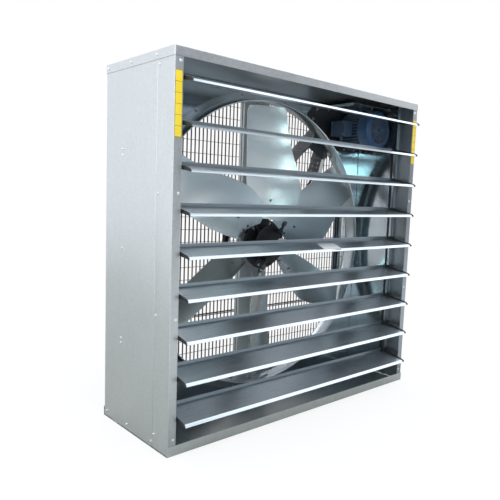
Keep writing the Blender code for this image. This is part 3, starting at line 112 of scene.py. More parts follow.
def finishLayers(tree, look, place):
    # pairs of a value around one half and its weight; the last pair is always the blotches
    warp = noise(tree, place, 14.0, 2.0)["Color"]
    bent = addNode(tree, "ShaderNodeVectorMath", {0: warp, 1: (0.012, 0.012, 0.012), 2: place},
                   operation='MULTIPLY_ADD').outputs[0]
    layers = []
    if look.spangle:
        cells = addNode(tree, "ShaderNodeTexVoronoi", {"Vector": bent, "Scale": look.spangle})
        tone = addNode(tree, "ShaderNodeSeparateColor", {0: cells.outputs["Color"]}).outputs[0]
        layers.append((tone, look.spangleShare))
    if look.streak:
        drawn = addNode(tree, "ShaderNodeMapping", {"Vector": place, "Scale": look.streak}).outputs[0]
        layers.append((noise(tree, drawn, 1.0, 4.0, 0.65)["Fac"], look.streakShare))
    return layers + [(noise(tree, bent, look.blotch, 5.0, 0.6)["Fac"], look.blotchShare)]


def finishColour(tree, look, share, blotches):
    colour = blendColour(tree, share, look.dark, look.light)
    geometry = addNode(tree, "ShaderNodeNewGeometry").outputs
    if look.dust:
        lying = calc(tree, 'MAXIMUM', component(tree, geometry["Normal"], 2), 0.0)
        lying = calc(tree, 'MULTIPLY', lying, calc(tree, 'MULTIPLY', blotches, look.dust))
        colour = blendColour(tree, lying, colour, dustTone)
    for axis, sign, shade in ((1, -1.0, look.front), (2, -1.0, look.under), (2, 1.0, look.over)):
        # painted shade: faces that look ahead, down or up are darkened towards black by how light falls on
        # them, not by any colour of the sheet
        if shade:
            along = calc(tree, 'MULTIPLY', component(tree, geometry["Normal"], axis), sign)
            facing = calc(tree, 'MULTIPLY', calc(tree, 'MAXIMUM', along, 0.0), shade)
            colour = blendColour(tree, facing, colour, paintedShadeTone)
    if look.wear:
        edge = mapRange(tree, geometry["Pointiness"], 0.54, 0.62)
        colour = blendColour(tree, calc(tree, 'MULTIPLY', edge, look.wear), colour, bareTone)
    return colour


def makeFinish(name, base=(), **changes):
    look = Settings({**finishDefaults, **dict(base), **changes})
    material = bpy.data.materials.new(name)
    material.use_nodes = True
    tree = material.node_tree
    place = addNode(tree, "ShaderNodeTexCoord").outputs["Object"]
    layers = finishLayers(tree, look, place)
    share = 0.5
    for value, weight in layers:
        swing = calc(tree, 'MULTIPLY', calc(tree, 'SUBTRACT', value, 0.5), weight)
        share = calc(tree, 'ADD', swing, share)
    rough = mapRange(tree, share, 0.0, 1.0, look.roughness - look.roughSpread,
                     look.roughness + look.roughSpread)
    height = calc(tree, 'ADD', calc(tree, 'MULTIPLY', layers[0][0], look.relief),
                  noise(tree, place, look.grain, 3.0)["Fac"])
    bump = addNode(tree, "ShaderNodeBump", {"Height": height, "Strength": look.bump, "Distance": 0.001})
    values = {"Base Color": finishColour(tree, look, share, layers[-1][0]), "Roughness": rough,
              "Metallic": look.metallic, "Coat Weight": look.coat, "Specular IOR Level": look.specular,
              "Normal": bump.outputs[0]}
    shader = tree.nodes["Principled BSDF"]
    for label, value in values.items():
        feed(tree, shader.inputs[label], value)
    return material


plainLook = {
    "dark": (0.52, 0.55, 0.56), "light": (0.70, 0.73, 0.74), "metallic": 0.85, "roughness": 0.36,
    "spangle": 75.0, "spangleShare": 0.22, "streak": (60.0, 60.0, 1.2), "streakShare": 0.5,
    "blotch": 3.0, "blotchShare": 0.5, "bump": 0.03, "dust": 0.2}
glossyLook = {
    "dark": (0.40, 0.45, 0.48), "light": (0.58, 0.63, 0.66), "metallic": 0.95, "roughness": 0.15,
    "spangle": 60.0, "spangleShare": 0.10, "streak": (50.0, 50.0, 1.5), "streakShare": 0.35,
    "blotch": 3.0, "blotchShare": 0.35, "roughSpread": 0.03, "bump": 0.008, "relief": 0.0}
enamelLook = {
    "dark": (0.012, 0.038, 0.092), "light": (0.022, 0.064, 0.140), "roughness": 0.36, "coat": 0.3,
    "blotch": 14.0, "grain": 350.0, "bump": 0.15, "dust": 0.2, "wear": 0.4}
# painted shade: faces that look up are darkened
plainSheet = makeFinish("plain_galvanised", plainLook, over=0.40, dust=0.0)
# painted shade: faces that look ahead, such as the front flanges, and faces that look down are darkened
galvanised = makeFinish("galvanised_sheet", plainLook, front=0.24, under=0.28, spangle=150.0,
                        spangleShare=0.30, streakShare=0.2)
# painted light: a lighter, less metallic copy of the galvanised sheet, so that the posts, which stand in
# shade, look brighter
lightenedPostSheet = makeFinish("lightened_post_galvanised", plainLook, dark=(0.62, 0.65, 0.66), light=(0.80, 0.83, 0.84),
                       metallic=0.35, roughness=0.45)
shadedSheet = makeFinish("shaded_galvanised", plainLook, dark=(0.30, 0.33, 0.36),
                         light=(0.43, 0.47, 0.50), front=0.10)
# painted shade: a darker copy of the galvanised sheet for the orifice panel inside the casing, standing in
# for its shade and dark reflections
shadedInnerSheet = makeFinish("shaded_inner_galvanised", glossyLook, dark=(0.30, 0.36, 0.40),
                        light=(0.46, 0.53, 0.57), roughness=0.13)
wallSheet = makeFinish("glossy_galvanised", glossyLook)
ringSheet = makeFinish("ring_galvanised", glossyLook, roughness=0.22)
brightSheet = makeFinish("bright_galvanised", glossyLook, dark=(0.60, 0.65, 0.66),
                         light=(0.74, 0.79, 0.80), metallic=0.92, roughness=0.24, spangle=45.0,
                         spangleShare=0.06, streak=(5.0, 60.0, 5.0), streakShare=0.25, blotch=2.5,
                         blotchShare=0.30, roughSpread=0.05, bump=0.012)
slatSheet = makeFinish("slat_strip", dark=(0.285, 0.338, 0.380), light=(0.54, 0.61, 0.65), metallic=0.88,
                       roughness=0.30, streak=(4.0, 400.0, 400.0), streakShare=1.0, blotch=6.0,
                       blotchShare=0.3, bump=0.04, dust=0.1)
blackPlastic = makeFinish("black_nylon", dark=(0.010, 0.011, 0.013), light=(0.024, 0.025, 0.028),
                          roughness=0.48, blotch=30.0, grain=900.0, bump=0.12, dust=0.15)
blackPaint = makeFinish("black_paint", dark=(0.008, 0.009, 0.012), light=(0.021, 0.023, 0.029),
                        roughness=0.45, specular=0.25, blotch=12.0, grain=500.0, bump=0.15, dust=0.1,
                        wear=0.4)
wireCoat = makeFinish("dark_wire_coat", dark=(0.035, 0.026, 0.023), light=(0.075, 0.060, 0.054),
                      roughness=0.42, blotch=20.0, grain=700.0, bump=0.1)
navyPaint = makeFinish("navy_enamel", enamelLook)
coverPaint = makeFinish("cover_enamel", enamelLook, dark=(0.019, 0.060, 0.148),
                        light=(0.034, 0.100, 0.225), roughness=0.38, coat=0.1, bump=0.1, wear=0.3)
castIron = makeFinish("painted_casting", dark=(0.011, 0.013, 0.017), light=(0.028, 0.031, 0.038),
                      roughness=0.50, metallic=0.1, blotch=25.0, grain=240.0, bump=0.35, wear=0.6)
brightSteel = makeFinish("turned_steel", dark=(0.42, 0.43, 0.44), light=(0.64, 0.65, 0.66),
                         roughness=0.26, metallic=1.0, streak=(60.0, 900.0, 60.0), streakShare=0.6,
                         blotch=18.0, bump=0.1)
zincSteel = makeFinish("zinc_plated_steel", dark=(0.26, 0.27, 0.28), light=(0.46, 0.47, 0.48),
                       roughness=0.35, metallic=1.0, blotch=60.0, bump=0.08)
# partly the bright zinc of the heads, partly painted highlight: these heads are far lighter than the other
# zinc-plated fasteners
brightenedHeadSteel = makeFinish("brightened_zinc_heads", dark=(0.70, 0.71, 0.72), light=(0.86, 0.87, 0.88),
                       roughness=0.30, metallic=0.8, blotch=60.0, bump=0.05)
rubber = makeFinish("belt_rubber", dark=(0.010, 0.010, 0.010), light=(0.026, 0.025, 0.024),
                    roughness=0.72, streak=(40.0, 500.0, 40.0), streakShare=0.7, blotch=30.0,
                    grain=900.0, bump=0.3)
yellowFilm = makeFinish("yellow_film", dark=(0.70, 0.50, 0.020), light=(0.83, 0.63, 0.045),
                        roughness=0.40, coat=0.2, blotch=20.0, bump=0.05)
whiteFilm = makeFinish("white_film", dark=(0.66, 0.67, 0.68), light=(0.80, 0.81, 0.82),
                       roughness=0.45, blotch=25.0, bump=0.05)
print("finishes made")


# mesh helpers

def meshOf(name, shape):
    mesh = bpy.data.meshes.new(name)
    shape.to_mesh(mesh)
    shape.free()
    return mesh


def addPiece(name, shape, finish, body=housing, stands=(), smooth=35, bevel=0.0):
    # shape is a bmesh or a mesh; the piece rides on its body and stands for the CAD nodes in stands
    mesh = shape
    if isinstance(shape, bmesh.types.BMesh):
        bmesh.ops.remove_doubles(shape, verts=shape.verts, dist=weld)
        bmesh.ops.recalc_face_normals(shape, faces=shape.faces)
        mesh = meshOf(name, shape)
    mesh.shade_smooth()
    mesh.set_sharp_from_angle(angle=radians(smooth))
    mesh.materials.clear()
    mesh.materials.append(finish)
    piece = bpy.data.objects.new(name, mesh)
    scene.collection.objects.link(piece)
    if bevel:
        edge = piece.modifiers.new("edges", 'BEVEL')
        edge.width, edge.segments, edge.limit_method = bevel, 2, 'ANGLE'
        edge.angle_limit, edge.harden_normals = radians(30), True
    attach(piece, body)
    if stands:
        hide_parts(*stands)
    return piece


def addBox(shape, low, high):
    low, high = Vector(low), Vector(high)
    place = Matrix.Translation((low + high) / 2) @ Matrix.Diagonal((*(high - low), 1))
    bmesh.ops.create_cube(shape, size=1, matrix=place)


def addRod(shape, start, end, radius, sides=16, endRadius=None):
    start, end = Vector(start), Vector(end)
    turn = (end - start).to_track_quat('Z', 'Y').to_matrix().to_4x4()
    bmesh.ops.create_cone(shape, cap_ends=True, segments=sides, radius1=radius,
                          radius2=radius if endRadius is None else endRadius,
                          depth=(end - start).length, matrix=Matrix.Translation((start + end) / 2) @ turn)


def corner(point, depth, axis):
    # a flat point's place at a depth along an axis
    across, up = point[0], point[1]
    return {'X': (depth, across, up), 'Y': (across, depth, up), 'Z': (across, up, depth)}[axis]


def addSides(shape, near, far):
    # one face for each edge between two closed loops of corners
    for index in range(len(near)):
        after = (index + 1) % len(near)
        shape.faces.new((near[index], near[after], far[after], far[index]))


def addLoft(shape, near, far):
    near, far = ([shape.verts.new(place) for place in loop] for loop in (near, far))
    shape.faces.new(near)
    shape.faces.new(far[::-1])
    addSides(shape, near, far)


def addPrism(shape, outline, low, high, axis='Y'):
    addLoft(shape, *([corner(point, depth, axis) for point in outline] for depth in (low, high)))


def addPlate(shape, outlines, low, high, axis='Y'):
    # a flat plate with holes: the first outline is its edge, the others are its holes
    flat = [[Vector((point[0], point[1], 0)) for point in outline] for outline in outlines]
    near, far = ([shape.verts.new(corner(point, depth, axis)) for outline in flat for point in outline]
                 for depth in (low, high))
    for first, second, third in tessellate_polygon(flat):
        shape.faces.new((near[first], near[second], near[third]))
        shape.faces.new((far[third], far[second], far[first]))
    start = 0
    for outline in flat:
        end = start + len(outline)
        addSides(shape, near[start:end], far[start:end])
        start = end


def addTurned(shape, profile, centre=(0.0, axisZ), steps=96):
    # profile is a closed line of (radius, y) pairs, turned about the Y axis through centre
    rings = [[shape.verts.new((centre[0] + radius * cos(angle), y, centre[1] + radius * sin(angle)))
              for radius, y in profile] for angle in evenly(steps)]
    for here, there in zip(rings, rings[1:] + rings[:1]):
        for index in range(len(profile)):
            after = (index + 1) % len(profile)
            if profile[index][0] + profile[after][0] > 0:
                shape.faces.new((here[index], here[after], there[after], there[index]))


def evenly(count, first=0.0):
    return [radians(first + 360 / count * step) for step in range(count)]


def spoke(angle, radius=1.0):
    return Vector((cos(angle), 0, sin(angle))) * radius


def boltRing(radius, y, angles, facing=toFront, centre=(0.0, axisZ)):
    return [((centre[0] + radius * cos(angle), y, centre[1] + radius * sin(angle)), facing)
            for angle in angles]


def circle(radius, sides, centre=(0.0, 0.0)):
    return [(centre[0] + radius * cos(angle), centre[1] + radius * sin(angle)) for angle in evenly(sides)]


def moved(outline, across, up):
    return [(point[0] + across, point[1] + up) for point in outline]


def roundedPath(points, radius, steps=4):
    # the same line with each corner turned into an arc
    points = [Vector(point) for point in points]
    line = [points[0]]
    for before, bend, after in zip(points, points[1:], points[2:]):
        back, ahead = (before - bend).normalized(), (after - bend).normalized()
        half = back.angle(ahead) / 2
        centre = bend + (back + ahead).normalized() * radius / sin(half)
        first, last = (bend + way * radius / tan(half) - centre for way in (back, ahead))
        line += [centre + first.lerp(last, step / steps).normalized() * radius for step in range(steps + 1)]
    return line + [points[-1]]


def thickened(line, thickness):
    # closed outline of a sheet that follows a line, its wall on the left of the way
    left = []
    for index, point in enumerate(line):
        before, after = line[max(index - 1, 0)], line[min(index + 1, len(line) - 1)]
        along = (after - before).normalized()
        left.append(point + Vector((-along.y, along.x)) * thickness)
    return [tuple(point) for point in line + left[::-1]]


def softened(node, finish, body, bevel):
    # a CAD node's own shape with its edges rounded
    shape = bmesh.new()
    shape.from_mesh(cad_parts[node].data)
    bmesh.ops.remove_doubles(shape, verts=shape.verts, dist=weld)
    bmesh.ops.dissolve_limit(shape, angle_limit=radians(0.5), verts=shape.verts, edges=shape.edges)
    return addPiece("soft_" + node, shape, finish, body, (node,), bevel=bevel)


# geometry node helpers

def newTree(name, inputs):
    tree = bpy.data.node_groups.new(name, "GeometryNodeTree")
    for label, kind in {"Geometry": "Geometry", **inputs, "Material": "Material"}.items():
        tree.interface.new_socket(label, in_out='INPUT', socket_type="NodeSocket" + kind)
    tree.interface.new_socket("Geometry", in_out='OUTPUT', socket_type="NodeSocketGeometry")
    return tree, addNode(tree, "NodeGroupInput").outputs


def endTree(tree, given, geometry):
    real = addNode(tree, "GeometryNodeRealizeInstances", {"Geometry": geometry}).outputs[0]
    done = addNode(tree, "GeometryNodeSetMaterial", {"Geometry": real, "Material": given["Material"]})
    addNode(tree, "NodeGroupOutput", {"Geometry": done.outputs[0]})
    return tree


def placeCopies(tree, points, part, **more):
    inputs = {"Points": points, "Instance": part, **more}
    return addNode(tree, "GeometryNodeInstanceOnPoints", inputs).outputs[0]


def shifted(tree, geometry, place, **more):
    inputs = {"Geometry": geometry, "Translation": place, **more}
    return addNode(tree, "GeometryNodeTransform", inputs).outputs[0]


def makeTube(tree, line, radius, sides):
    edge = addNode(tree, "GeometryNodeCurvePrimitiveCircle", {"Resolution": sides, "Radius": radius})
    return addNode(tree, "GeometryNodeCurveToMesh", {"Curve": line.outputs[0], "Fill Caps": True,
                                                     "Profile Curve": edge.outputs[0]}).outputs[0]


def givenObject(tree, socket):
    return addNode(tree, "GeometryNodeObjectInfo", {"Object": socket}).outputs["Geometry"]


def pointFacing(tree):
    return addNode(tree, "GeometryNodeInputNamedAttribute", {"Name": "facing"},
                   data_type='FLOAT_VECTOR').outputs[0]


def aimAlong(tree, way):
    # turns a part's X along way and keeps its Y along the shaft
    return addNode(tree, "FunctionNodeAxesToRotation", {0: way, 1: toRear},
                   primary_axis='X', secondary_axis='Y').outputs[0]


def grow(name, tree, sizes, finish, body=housing, base=None, stands=(), smooth=35):
    # runs a geometry tree on a base mesh and keeps the result as a plain mesh
    holder = bpy.data.objects.new(name + "_holder", base or bpy.data.meshes.new(name + "_base"))
    scene.collection.objects.link(holder)
    modifier = holder.modifiers.new("shape", 'NODES')
    modifier.node_group = tree
    for item in tree.interface.items_tree:
        if item.item_type == 'SOCKET' and item.in_out == 'INPUT' and item.name in sizes:
            modifier[item.identifier] = sizes[item.name]
        elif item.item_type == 'SOCKET' and item.name == "Material":
            modifier[item.identifier] = finish
    graph = bpy.context.evaluated_depsgraph_get()
    mesh = bpy.data.meshes.new_from_object(holder.evaluated_get(graph))
    bpy.data.objects.remove(holder, do_unlink=True)
    return addPiece(name, mesh, finish, body, stands, smooth)


def pointCloud(places):
    # places are (point, facing) pairs; facing is kept as an attribute of each point
    mesh = bpy.data.meshes.new("places")
    mesh.from_pydata([tuple(point) for point, facing in places], [], [])
    facings = mesh.attributes.new("facing", 'FLOAT_VECTOR', 'POINT')
    for index, (point, facing) in enumerate(places):
        facings.data[index].vector = facing
    return mesh


def patternObject(name, shape):
    # a small part that the trees repeat; it is not linked to the scene
    bmesh.ops.recalc_face_normals(shape, faces=shape.faces)
    return bpy.data.objects.new(name, meshOf(name, shape))


# fasteners: unit heads that face +Z, each a stack of turned profiles of (radius, height) pairs

headShapes = {
    "screw": ((12, (0.50, 0.0), (0.50, 0.06), (0.44, 0.10), (0.30, 0.10)),
              (6, (0.30, 0.08), (0.30, 0.30), (0.25, 0.36), (0.10, 0.34))),
    "bolt": ((14, (0.50, 0.0), (0.50, 0.10), (0.46, 0.12), (0.38, 0.12)),
             (6, (0.38, 0.12), (0.38, 0.42), (0.31, 0.50), (0.12, 0.50))),
    "rivet": ((10, (0.50, 0.0), (0.47, 0.10), (0.36, 0.20), (0.20, 0.25), (0.12, 0.20)),)}


def makeHead(name, stacks):
    shape = bmesh.new()
    for sides, *profile in stacks:
        rings = [[shape.verts.new((x, y, height)) for x, y in circle(radius, sides)]
                 for radius, height in profile]
        for low, high in zip(rings, rings[1:]):
            addSides(shape, low, high)
        shape.faces.new(rings[0][::-1])
        shape.faces.new(rings[-1])
    return patternObject(name, shape)


def makeFastenerTree():
    tree, given = newTree("fasteners", {"Fastener": "Object", "Size": "Float", "Turn Seed": "Int"})
    aim = addNode(tree, "FunctionNodeAlignRotationToVector", {"Vector": pointFacing(tree)}, axis='Z')
    spin = addNode(tree, "FunctionNodeRandomValue", {2: 0.0, 3: 6.283, "Seed": given["Turn Seed"]},
                   data_type='FLOAT')
    twist = addNode(tree, "FunctionNodeAxisAngleToRotation", {"Axis": toTop, "Angle": spin.outputs[1]})
    turned = addNode(tree, "FunctionNodeRotateRotation",
                     {"Rotation": aim.outputs[0], "Rotate By": twist.outputs[0]}, rotation_space='LOCAL')
    placed = placeCopies(tree, given["Geometry"], givenObject(tree, given["Fastener"]),
                         Rotation=turned.outputs[0], Scale=given["Size"])
    return endTree(tree, given, placed)


fastenerTree = makeFastenerTree()
heads = {kind: makeHead(kind + "_head", stacks) for kind, stacks in headShapes.items()}


def addFasteners(name, kind, size, places, finish=zincSteel, body=housing):
    return grow(name, fastenerTree, {"Fastener": heads[kind], "Size": size, "Turn Seed": 7},
                finish, body, pointCloud(places))


# camera, studio light and floor

cameraView = Settings(place=(-1.675643, -1.800307, 0.915993), azimuth=-42.7740, elevation=6.0225,
                      roll=2.2571, lens=39.8418, sensor=36, shiftX=-0.046197, shiftY=0.005547, reach=60)


def addCamera(view):
    azimuth, elevation, roll = radians(view.azimuth), radians(view.elevation), radians(view.roll)
    back = Vector((sin(azimuth) * cos(elevation), -cos(azimuth) * cos(elevation), sin(elevation)))
    right = Vector(toTop).cross(back).normalized()
    up = back.cross(right)
    across, upright = right * cos(roll) + up * sin(roll), up * cos(roll) - right * sin(roll)
    lens = bpy.data.cameras.new("camera")
    lens.lens, lens.sensor_width, lens.clip_end = view.lens, view.sensor, view.reach
    lens.shift_x, lens.shift_y = view.shiftX, view.shiftY
    camera = bpy.data.objects.new("camera", lens)
    turn = Matrix((across, upright, back)).transposed().to_4x4()
    camera.matrix_world = Matrix.Translation(view.place) @ turn
    scene.collection.objects.link(camera)
    scene.camera = camera


studio = Settings(
    right=(0.38, 0.40, 0.43), left=(0.58, 0.62, 0.65), zenith=(0.90, 0.93, 1.0),
    shade=(0.08, 0.08, 0.11), rear=(1.12, 1.14, 1.19), seen=(1.0, 1.0, 1.0),
    leftRamp=(0, 0.40, 0.0), zenithRamp=(2, 0.06, 0.55), rearRamps=((1, -0.2, 0.5), (0, 0.6, -0.1)),
    shadeRamps=((0, 0.30, 0.48), (0, 0.84, 0.66), (1, -0.2, -0.5), (2, 0.02, 0.16), (2, 0.50, 0.32)),
    lamps=(("over", (-1.2, -1.6, 3.6), (3.0, 3.0), 70.0, (1.0, 1.0, 1.0)),
           ("left", (-4.0, -0.4, 1.8), (2.4, 2.4), 30.0, (1.0, 1.0, 1.0)),
           ("behind", (0.6, 3.6, 2.2), (2.6, 2.6), 40.0, (1.0, 1.0, 1.0)),
           ("rim", (4.6, -1.0, 4.6), (5.6, 5.6), 215.0, (1.0, 1.0, 1.0)),
           ("strip", (-2.54, -2.63, 1.36), (0.26, 0.50), 6.6, (0.62, 1.0, 1.0)),
           ("door", (-1.62, -3.6, 1.75), (0.30, 1.0), 6.0, (0.72, 1.0, 1.0))))


def addSky(light):
    world = bpy.data.worlds.new("studio")
    scene.world = world
    world.use_nodes = True
    tree = world.node_tree
    way = addNode(tree, "ShaderNodeTexCoord").outputs["Generated"]

    def ramp(axis, start, end):
        return mapRange(tree, component(tree, way, axis), start, end)
    # the shade is a dark patch ahead and to the right, above the horizon
    patch = 1.0
    for edge in light.shadeRamps:
        patch = calc(tree, 'MULTIPLY', ramp(*edge), patch)
    back = calc(tree, 'MULTIPLY', *(ramp(*edge) for edge in light.rearRamps))
    rays = addNode(tree, "ShaderNodeLightPath").outputs
    direct = calc(tree, 'MAXIMUM', rays["Is Camera Ray"], rays["Is Transmission Ray"])
    colour = light.right
    for share, tone in ((ramp(*light.leftRamp), light.left), (ramp(*light.zenithRamp), light.zenith),
                        (back, light.rear), (patch, light.shade), (direct, light.seen)):
        colour = blendColour(tree, share, colour, tone)
    feed(tree, tree.nodes["Background"].inputs["Color"], colour)


def addLamps(lamps):
    for name, place, size, power, tint in lamps:
        lamp = bpy.data.lights.new(name, 'AREA')
        lamp.shape, lamp.energy, lamp.color = 'RECTANGLE', power, tint
        lamp.size, lamp.size_y = size
        holder = bpy.data.objects.new(name, lamp)
        aim = Vector((0, 0, axisZ)) - Vector(place)
        holder.matrix_world = Matrix.Translation(place) @ aim.to_track_quat('-Z', 'Y').to_matrix().to_4x4()
        scene.collection.objects.link(holder)


floorLook = Settings(size=12, z=-0.0005, rear=(0.34, 0.345, 0.32), front=(0.70, 0.71, 0.71),
                     side=(1.10, 1.12, 1.11), seen=(0.72, 0.73, 0.73), white=(1.0, 1.0, 1.0, 1.0),
                     frontRamp=(-0.3, -1.0), sideRamp=(-2.3, -4.2), fade=(0.8, 2.6, 0.80, 1.0))


def makeFloorFinish(look):
    # only the camera sees the pale floor that fades to white; other rays meet the studio's tones
    material = bpy.data.materials.new("pale_floor")
    material.use_nodes = True
    tree = material.node_tree
    tree.nodes.clear()
    direct = addNode(tree, "ShaderNodeLightPath").outputs["Is Camera Ray"]
    place = addNode(tree, "ShaderNodeTexCoord").outputs["Object"]
    ahead = mapRange(tree, component(tree, place, 1), *look.frontRamp)
    aside = mapRange(tree, component(tree, place, 0), *look.sideRamp)
    tone = look.rear
    for share, other in ((ahead, look.front), (aside, look.side), (direct, look.seen)):
        tone = blendColour(tree, share, tone, other)
    plain = addNode(tree, "ShaderNodeBsdfDiffuse", {"Color": tone}).outputs[0]
    white = addNode(tree, "ShaderNodeEmission", {"Color": look.white, "Strength": 1.0}).outputs[0]
    distance = addNode(tree, "ShaderNodeVectorMath", {0: place}, operation='LENGTH').outputs["Value"]
    share = calc(tree, 'MULTIPLY', direct, mapRange(tree, distance, *look.fade))
    mixed = addNode(tree, "ShaderNodeMixShader", {0: share, 1: plain, 2: white}).outputs[0]
    addNode(tree, "ShaderNodeOutputMaterial", {0: mixed})
    return material


def addFloor(look):
    shape = bmesh.new()
    bmesh.ops.create_grid(shape, x_segments=8, y_segments=8, size=look.size)
    floor = bpy.data.objects.new("floor", meshOf("floor", shape))
    floor.location = (0, 0, look.z)
    scene.collection.objects.link(floor)
    floor.data.materials.append(makeFloorFinish(look))


addCamera(cameraView)
addSky(studio)
addLamps(studio.lamps)
scene.view_settings.view_transform = 'Standard'
addFloor(floorLook)
print("camera, light and floor made")


# CAD nodes that keep their shape take a finish

def numbered(stem, count):
    return tuple("%s_%d" % (stem, number) for number in range(1, count + 1))


nodeFinishes = {
    galvanised: ("top_cap", "left_shutter_channel", "left_side_panel"),
    plainSheet: ("bottom_pan", "slat_bracket"),
    lightenedPostSheet: ("left_post", "right_post"),
    shadedSheet: ("right_shutter_channel",),
    wallSheet: ("right_side_panel",),
    shadedInnerSheet: ("orifice_panel",),
    brightSheet: ("venturi_ring", "motor_shelf", *numbered("blade", 6)),
    slatSheet: numbered("slat", 9),
    blackPlastic: ("link_bar", *numbered("crank_cap", 9)),
    blackPaint: ("hub", "governor_plate", "belt_guard", "motor_plate"),
    wireCoat: ("rear_guard",),
    navyPaint: ("motor_body", "terminal_box"),
    coverPaint: ("motor_fan_cover",),
    castIron: ("bearing_housing", "driven_pulley", "motor_pulley", *numbered("flyweight", 2)),
    brightSteel: ("front_bearing", "rear_bearing", "impeller_shaft", "shaft_nut", "motor_shaft",
                  "push_rod", "thrust_collar", "buffer_spring"),
    rubber: ("v_belt",),
}
for finish, names in nodeFinishes.items():
    for name in names:
        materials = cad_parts[name].data.materials
        materials.clear()
        materials.append(finish)


# casing screws: places read off the front and left views, the far side mirrors the near one

casingScrews = Settings(
    size=0.0105, rivetSize=0.0075, capX=0.6901, capY=(0.221, 0.048, -0.127), capZ=1.3640,
    wallX=0.6883, panY=(0.2205, 0.052, -0.1275), panZ=0.0228, flangeX=0.6667, flangeY=0.2383,
    flangeZ=(1.3325, 0.9074, 0.4815, 0.0585), seamY=-0.1455, seamZ=(1.3307, 0.9043, 0.4824, 0.0537),
    panelY=0.1055, panelZ=(1.061, 1.0387, 0.6932, 0.3486, 0.3306), spreadX=(-0.45, 0.0, 0.45),
    rearY=0.2401, rearZ=(1.3640, 0.0190), topY=(0.1200, -0.2000), topZ=1.3801, rivetX=0.64,
    rivetY=(-0.19, 0.0, 0.19))


def addCasingScrews(shape):
    places = []
    for side in (-1, 1):
        out, wall, flange = (side, 0, 0), side * shape.wallX, side * shape.flangeX
        places += [((side * shape.capX, y, shape.capZ), out) for y in shape.capY]
        places += [((wall, y, shape.panZ), out) for y in shape.panY]
        places += [((wall, shape.seamY, z), out) for z in shape.seamZ]
        places += [((flange, -shape.flangeY, z), toFront) for z in shape.flangeZ]
        places += [((flange, shape.flangeY, z), toRear) for z in shape.flangeZ]
        places += [((wall, shape.panelY, z), out) for z in shape.panelZ]
    for x in shape.spreadX:
        places += [((x, shape.rearY, z), toRear) for z in shape.rearZ]
        places += [((x, y, shape.topZ), toTop) for y in shape.topY]
    addFasteners("casing_screws", "screw", shape.size, places, brightenedHeadSteel)
    rivets = [((side * shape.rivetX, y, shape.topZ), toTop) for side in (-1, 1) for y in shape.rivetY]
    addFasteners("casing_rivets", "rivet", shape.rivetSize, rivets, brightSteel)


addCasingScrews(casingScrews)


# shutter channels: a folded strip each; the slats' axles end in their inner face

channelShape = Settings(wallX=0.6882, frontY=-0.2382, seamY=-0.13615, lip=0.012, flangeX=0.656,
                        low=0.0033, high=1.3767, bend=0.0020, sheet=0.0015)


def addChannels(shape):
    wall = -shape.wallX
    line = roundedPath([(wall + shape.lip, shape.seamY), (wall, shape.seamY), (wall, shape.frontY),
                        (-shape.flangeX, shape.frontY)], shape.bend, 5)
    outline = thickened(line, shape.sheet)
    for side, name, finish in ((1, "left", galvanised), (-1, "right", shadedSheet)):
        channel = bmesh.new()
        addPlate(channel, [[(side * x, y) for x, y in outline]], shape.low, shape.high, 'Z')
        addPiece(name + "_channel", channel, finish,
                 stands=(name + "_shutter_channel",))


addChannels(channelShape)
print("casing done")


# shutter slats: one folded strip drawn out by a geometry tree, and black end caps

slatShape = Settings(
    pivotY=-0.148, topZ=1.300, pitch=0.1448, count=9, halfLength=0.6445, sheet=0.0012, bend=0.0022,
    section=((0.0100, 0.0080), (0.0100, -0.0050), (-0.1240, -0.0220), (-0.1330, -0.0320)),
    capGap=0.0003, cap=0.0040, capMargin=0.0035, capRound=0.0016, ribInset=0.004, ribUp=0.0008,
    ribDown=0.0022, ribRise=0.0012, collar=0.0078, collarSunk=0.0005, collarReach=0.0100, stub=0.0050,
    crank=0.0360, crankLean=35.0, arm=0.0055, armSunk=0.001, armRise=0.003, pin=0.0030, pinEnd=0.6645,
    wallX=0.6864, edge=0.0006)


def makeStripTree():
    # draws a flat section out along X, closes both ends and moves it to its pivot
    tree, given = newTree("folded_strip", {"Length": "Float", "Left End": "Float", "Pivot": "Vector"})
    reach, left = (addNode(tree, "ShaderNodeCombineXYZ", {0: given[label]}).outputs[0]
                   for label in ("Length", "Left End"))
    drawn = addNode(tree, "GeometryNodeExtrudeMesh", {"Mesh": given["Geometry"], "Offset": reach,
                                                      "Offset Scale": 1.0, "Individual": False})
    back = addNode(tree, "GeometryNodeFlipFaces", {"Mesh": given["Geometry"]}).outputs[0]
    closed = addNode(tree, "GeometryNodeJoinGeometry")
    tree.links.new(drawn.outputs["Mesh"], closed.inputs[0])
    tree.links.new(back, closed.inputs[0])
    merged = addNode(tree, "GeometryNodeMergeByDistance", {"Geometry": closed.outputs[0], "Distance": weld})
    place = addNode(tree, "ShaderNodeVectorMath", {0: given["Pivot"], 1: left}, operation='ADD')
    return endTree(tree, given, shifted(tree, merged.outputs[0], place.outputs[0]))


def slatPivot(number):
    return slatShape.topZ - slatShape.pitch * (number - 1)


def capOutline(shape):
    top, rear, front, tip = shape.section
    m = shape.capMargin
    points = [(rear[0] + m, rear[1] - m), (rear[0] + m, top[1]), (-rear[0], top[1]),
              (-rear[0] - 2 * m, m), (front[0], front[1] + m), (tip[0], tip[1] + 2 * m), tip,
              (front[0] + m, front[1] - 2 * m), (-rear[0] - 2 * m, rear[1] - 3 * m)]
    return roundedPath(points + points[:1], shape.capRound, 3)[:-1]


def crankArm(shape, heading):
    # a bar with pointed ends from the axle to the pin, turned to its heading
    reach, half = shape.crank, shape.arm
    arm = ((0.0, half), (reach, half), (reach + half, 0.0), (reach, -half), (0.0, -half), (-half, 0.0))
    return [(u * cos(heading) - v * sin(heading), u * sin(heading) + v * cos(heading)) for u, v in arm]


